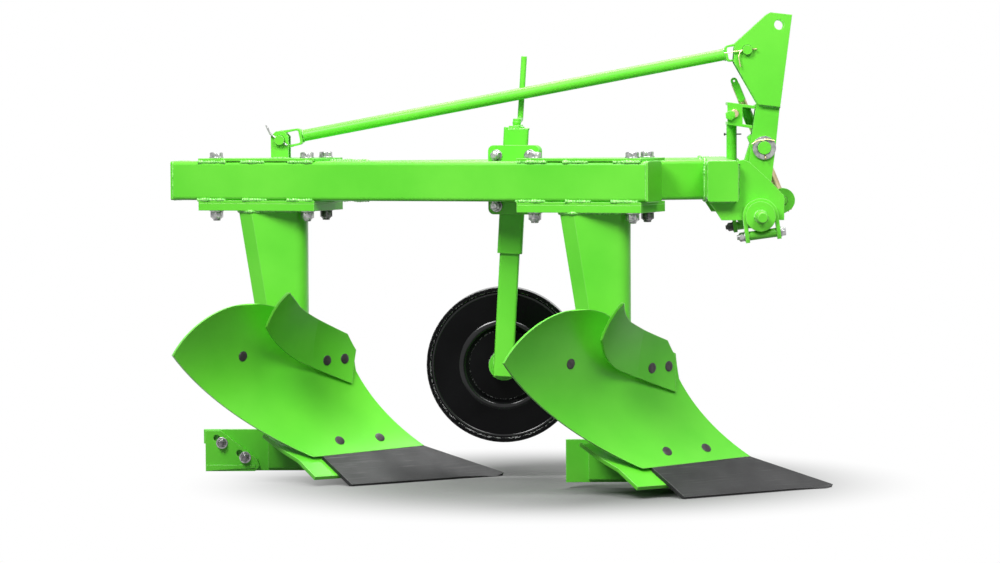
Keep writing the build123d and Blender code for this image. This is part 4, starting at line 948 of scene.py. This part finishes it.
# clevis lugs on the pad
clevisWeld = {"lug": 0.008, "rise": 0.0005}
clevisLow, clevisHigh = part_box("brace_clevis")
for y in (clevisLow.y, clevisLow.y + clevisWeld["lug"], clevisHigh.y - clevisWeld["lug"], clevisHigh.y):
    layWeld("clevis", [(clevisLow.x, y, clevisLow.z + clevisWeld["rise"]),
                       (clevisHigh.x, y, clevisLow.z + clevisWeld["rise"])])

# brace tube into its eyes
braceWeld = {"fromPin": 0.0465, "radius": 0.012}
braceRear, braceFront = middle("brace_rear_pin"), middle("brace_front_pin")
braceWay = (braceFront - braceRear).normalized()
for place, way in ((braceRear, braceWay), (braceFront, -braceWay)):
    layWeld("braceEye", ring(place + way * braceWeld["fromPin"], braceWay, braceWeld["radius"]), closed=True)

# wheel bracket: gussets on the outer tube
gussetWeld = {"thick": 0.008, "proud": 0.0005, "back": 0.003, "front": 0.047}
gussetLow, gussetHigh = (corner.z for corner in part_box("wheel_bracket"))
for height in (gussetLow, gussetLow + gussetWeld["thick"], gussetHigh - gussetWeld["thick"], gussetHigh):
    lean = (height - outerLow.z) * math.tan(armLean)
    layWeld("gusset", [(outerLow.x + lean + gussetWeld[end], outerHigh.y + gussetWeld["proud"], height)
                       for end in ("back", "front")])

# axle's flange under the wheel arm, from the axle's middle
flangeWeld = ((-0.02, 0.022), (-0.0195, -0.019), (0.0195, -0.019), (0.0215, 0.022))
flangeMiddle = Vector((axleMiddle.x, axleLow.y, axleMiddle.z))
layWeld("axleFlange", [flangeMiddle + Vector((x, 0, z)) for x, z in flangeWeld], body="wheel_arm")

# outer tube's cap, from the tube's upper corner
capWeld = {"back": 0.0475, "near": 0.002, "drop": 0.0045, "side": 0.046}
layWeld("tubeCap", [Vector((outerHigh.x - capWeld["back"] + x * capWeld["side"],
                            outerLow.y + capWeld["near"] + y * capWeld["side"],
                            outerHigh.z - capWeld["drop"]))
                    for x, y in ((0, 0), (1, 0), (1, 1), (0, 1))], closed=True)

# stays on the legs
stayWeld = {"back": 0.011, "front": 0.001, "inset": 0.001}
for name in legBodies:
    low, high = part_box(name + "_stay")
    for height in (low.z, high.z):
        layWeld("stay", [(high.x - stayWeld["back"], high.y - stayWeld["inset"], height),
                         (high.x + stayWeld["front"], high.y - stayWeld["inset"], height)])

# cross shaft: near pin's shoulder, lever cheeks, far crank
shaftWeld = {"shoulder": 0.0118, "cheek": 0.0255, "cheekInset": 0.004, "cheekThick": 0.012}


def shaftRing(kind, y, radius):
    layWeld(kind, ring(Vector((hitchAxis.x, y, hitchAxis.z)), across, radius), closed=True,
            body="cross_shaft")


shaftRing("pinShoulder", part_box("near_hitch_pin")[1].y, shaftWeld["shoulder"])
for y in (leverLow.y + shaftWeld["cheekInset"], leverLow.y + shaftWeld["cheekThick"],
          leverHigh.y - shaftWeld["cheekThick"], leverHigh.y - shaftWeld["cheekInset"]):
    shaftRing("leverCheek", y, shaftWeld["cheek"])
shaftRing("crankCheek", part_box("far_hitch_crank")[0].y, shaftWeld["cheek"])
for body, shape in welds.items():
    finishPiece(shape, "welds_" + body, weldEnamel, body, sharpAngle=60)
print("welds made")

# studio: a white world, and a pale floor that is white to the camera away from the plough; near the plough
# the camera sees it dull grey, a painted shadow pool over the lamps' real shadow
studio = {"world": 0.13, "floorReach": 14.0, "floorDrop": 0.0006, "floorSeen": 0.22, "bounce": 0.12,
          "shadowPoolMiddle": (0.12, -0.08, 0), "fadeFrom": 0.3, "fadeTo": 0.77}
reach = studio["floorReach"]
floorMesh = bpy.data.meshes.new("floor")
floorMesh.from_pydata([(-reach, -reach, 0), (reach, -reach, 0), (reach, reach, 0), (-reach, reach, 0)], [],
                      [[0, 1, 2, 3]])
floor = bpy.data.objects.new("floor", floorMesh)
floor.location.z = -studio["floorDrop"]
bpy.context.scene.collection.objects.link(floor)


def seenRays(tree):
    # camera, mirror and glass rays, which see the white studio
    path = addNode(tree, "LightPath")
    first = addNode(tree, "Math", {"operation": "MAXIMUM"})
    tree.links.new(path.outputs["Is Camera Ray"], first.inputs[0])
    tree.links.new(path.outputs["Is Glossy Ray"], first.inputs[1])
    second = addNode(tree, "Math", {"operation": "MAXIMUM"})
    tree.links.new(first.outputs[0], second.inputs[0])
    tree.links.new(path.outputs["Is Transmission Ray"], second.inputs[1])
    return second.outputs[0]


floorMaterial = bpy.data.materials.new("paleFloor")
floorMaterial.use_nodes = True
floorMesh.materials.append(floorMaterial)
tree = floorMaterial.node_tree
tree.nodes.remove(tree.nodes["Principled BSDF"])
matte = addNode(tree, "BsdfDiffuse")
glow = addNode(tree, "Emission", values={"Color": (1, 1, 1, 1), "Strength": 1.0})
# distance from the middle of the painted shadow pool: dull grey inside it, glowing white beyond
fromMiddle = addNode(tree, "VectorMath", {"operation": "SUBTRACT"}, {1: studio["shadowPoolMiddle"]})
tree.links.new(addNode(tree, "NewGeometry").outputs["Position"], fromMiddle.inputs[0])
away = addNode(tree, "VectorMath", {"operation": "LENGTH"})
tree.links.new(fromMiddle.outputs[0], away.inputs[0])
fade = addNode(tree, "MapRange", {"interpolation_type": "SMOOTHSTEP"},
               {"From Min": studio["fadeFrom"], "From Max": studio["fadeTo"]})
tree.links.new(away.outputs["Value"], fade.inputs["Value"])
seen = seenRays(tree)
dull = (studio["bounce"],) * 3 + (1,)
shown = (studio["floorSeen"],) * 3 + (1,)
tree.links.new(mixColours(tree, seen, dull, shown), matte.inputs["Color"])
glowShare = addNode(tree, "Math", {"operation": "MULTIPLY"})
tree.links.new(fade.outputs[0], glowShare.inputs[0])
tree.links.new(seen, glowShare.inputs[1])
blend = addNode(tree, "MixShader")
tree.links.new(glowShare.outputs[0], blend.inputs[0])
tree.links.new(matte.outputs[0], blend.inputs[1])
tree.links.new(glow.outputs[0], blend.inputs[2])
tree.links.new(blend.outputs[0], tree.nodes["Material Output"].inputs["Surface"])

world = bpy.data.worlds.new("studio")
world.use_nodes = True
bpy.context.scene.world = world
tree = world.node_tree
backdrop = tree.nodes["Background"]
backdrop.inputs["Color"].default_value = (1, 1, 1, 1)
strength = addNode(tree, "MapRange", values={"To Min": studio["world"], "To Max": 1.0})
tree.links.new(seenRays(tree), strength.inputs["Value"])
tree.links.new(strength.outputs[0], backdrop.inputs["Strength"])

# square soft lamps, all aimed at the plough's middle
lampAim = Vector((0, 0, 0.4))
softLamps = {
    "keyLamp": {"place": (-1.6, -2.9, 3.6), "size": 1.6, "power": 222},
    "topLamp": {"place": (0.1, 0.7, 3.0), "size": 2.0, "power": 110},
    "fillLamp": {"place": (1.5, -2.9, 3.4), "size": 1.6, "power": 118},
}
for name, lamp in softLamps.items():
    data = bpy.data.lights.new(name, "AREA")
    data.shape = "SQUARE"
    data.size = lamp["size"]
    data.energy = lamp["power"]
    light = bpy.data.objects.new(name, data)
    light.location = lamp["place"]
    light.rotation_euler = (lampAim - Vector(lamp["place"])).to_track_quat("-Z", "Y").to_euler()
    bpy.context.scene.collection.objects.link(light)

bpy.context.scene.view_settings.view_transform = "Standard"
print("studio lit")
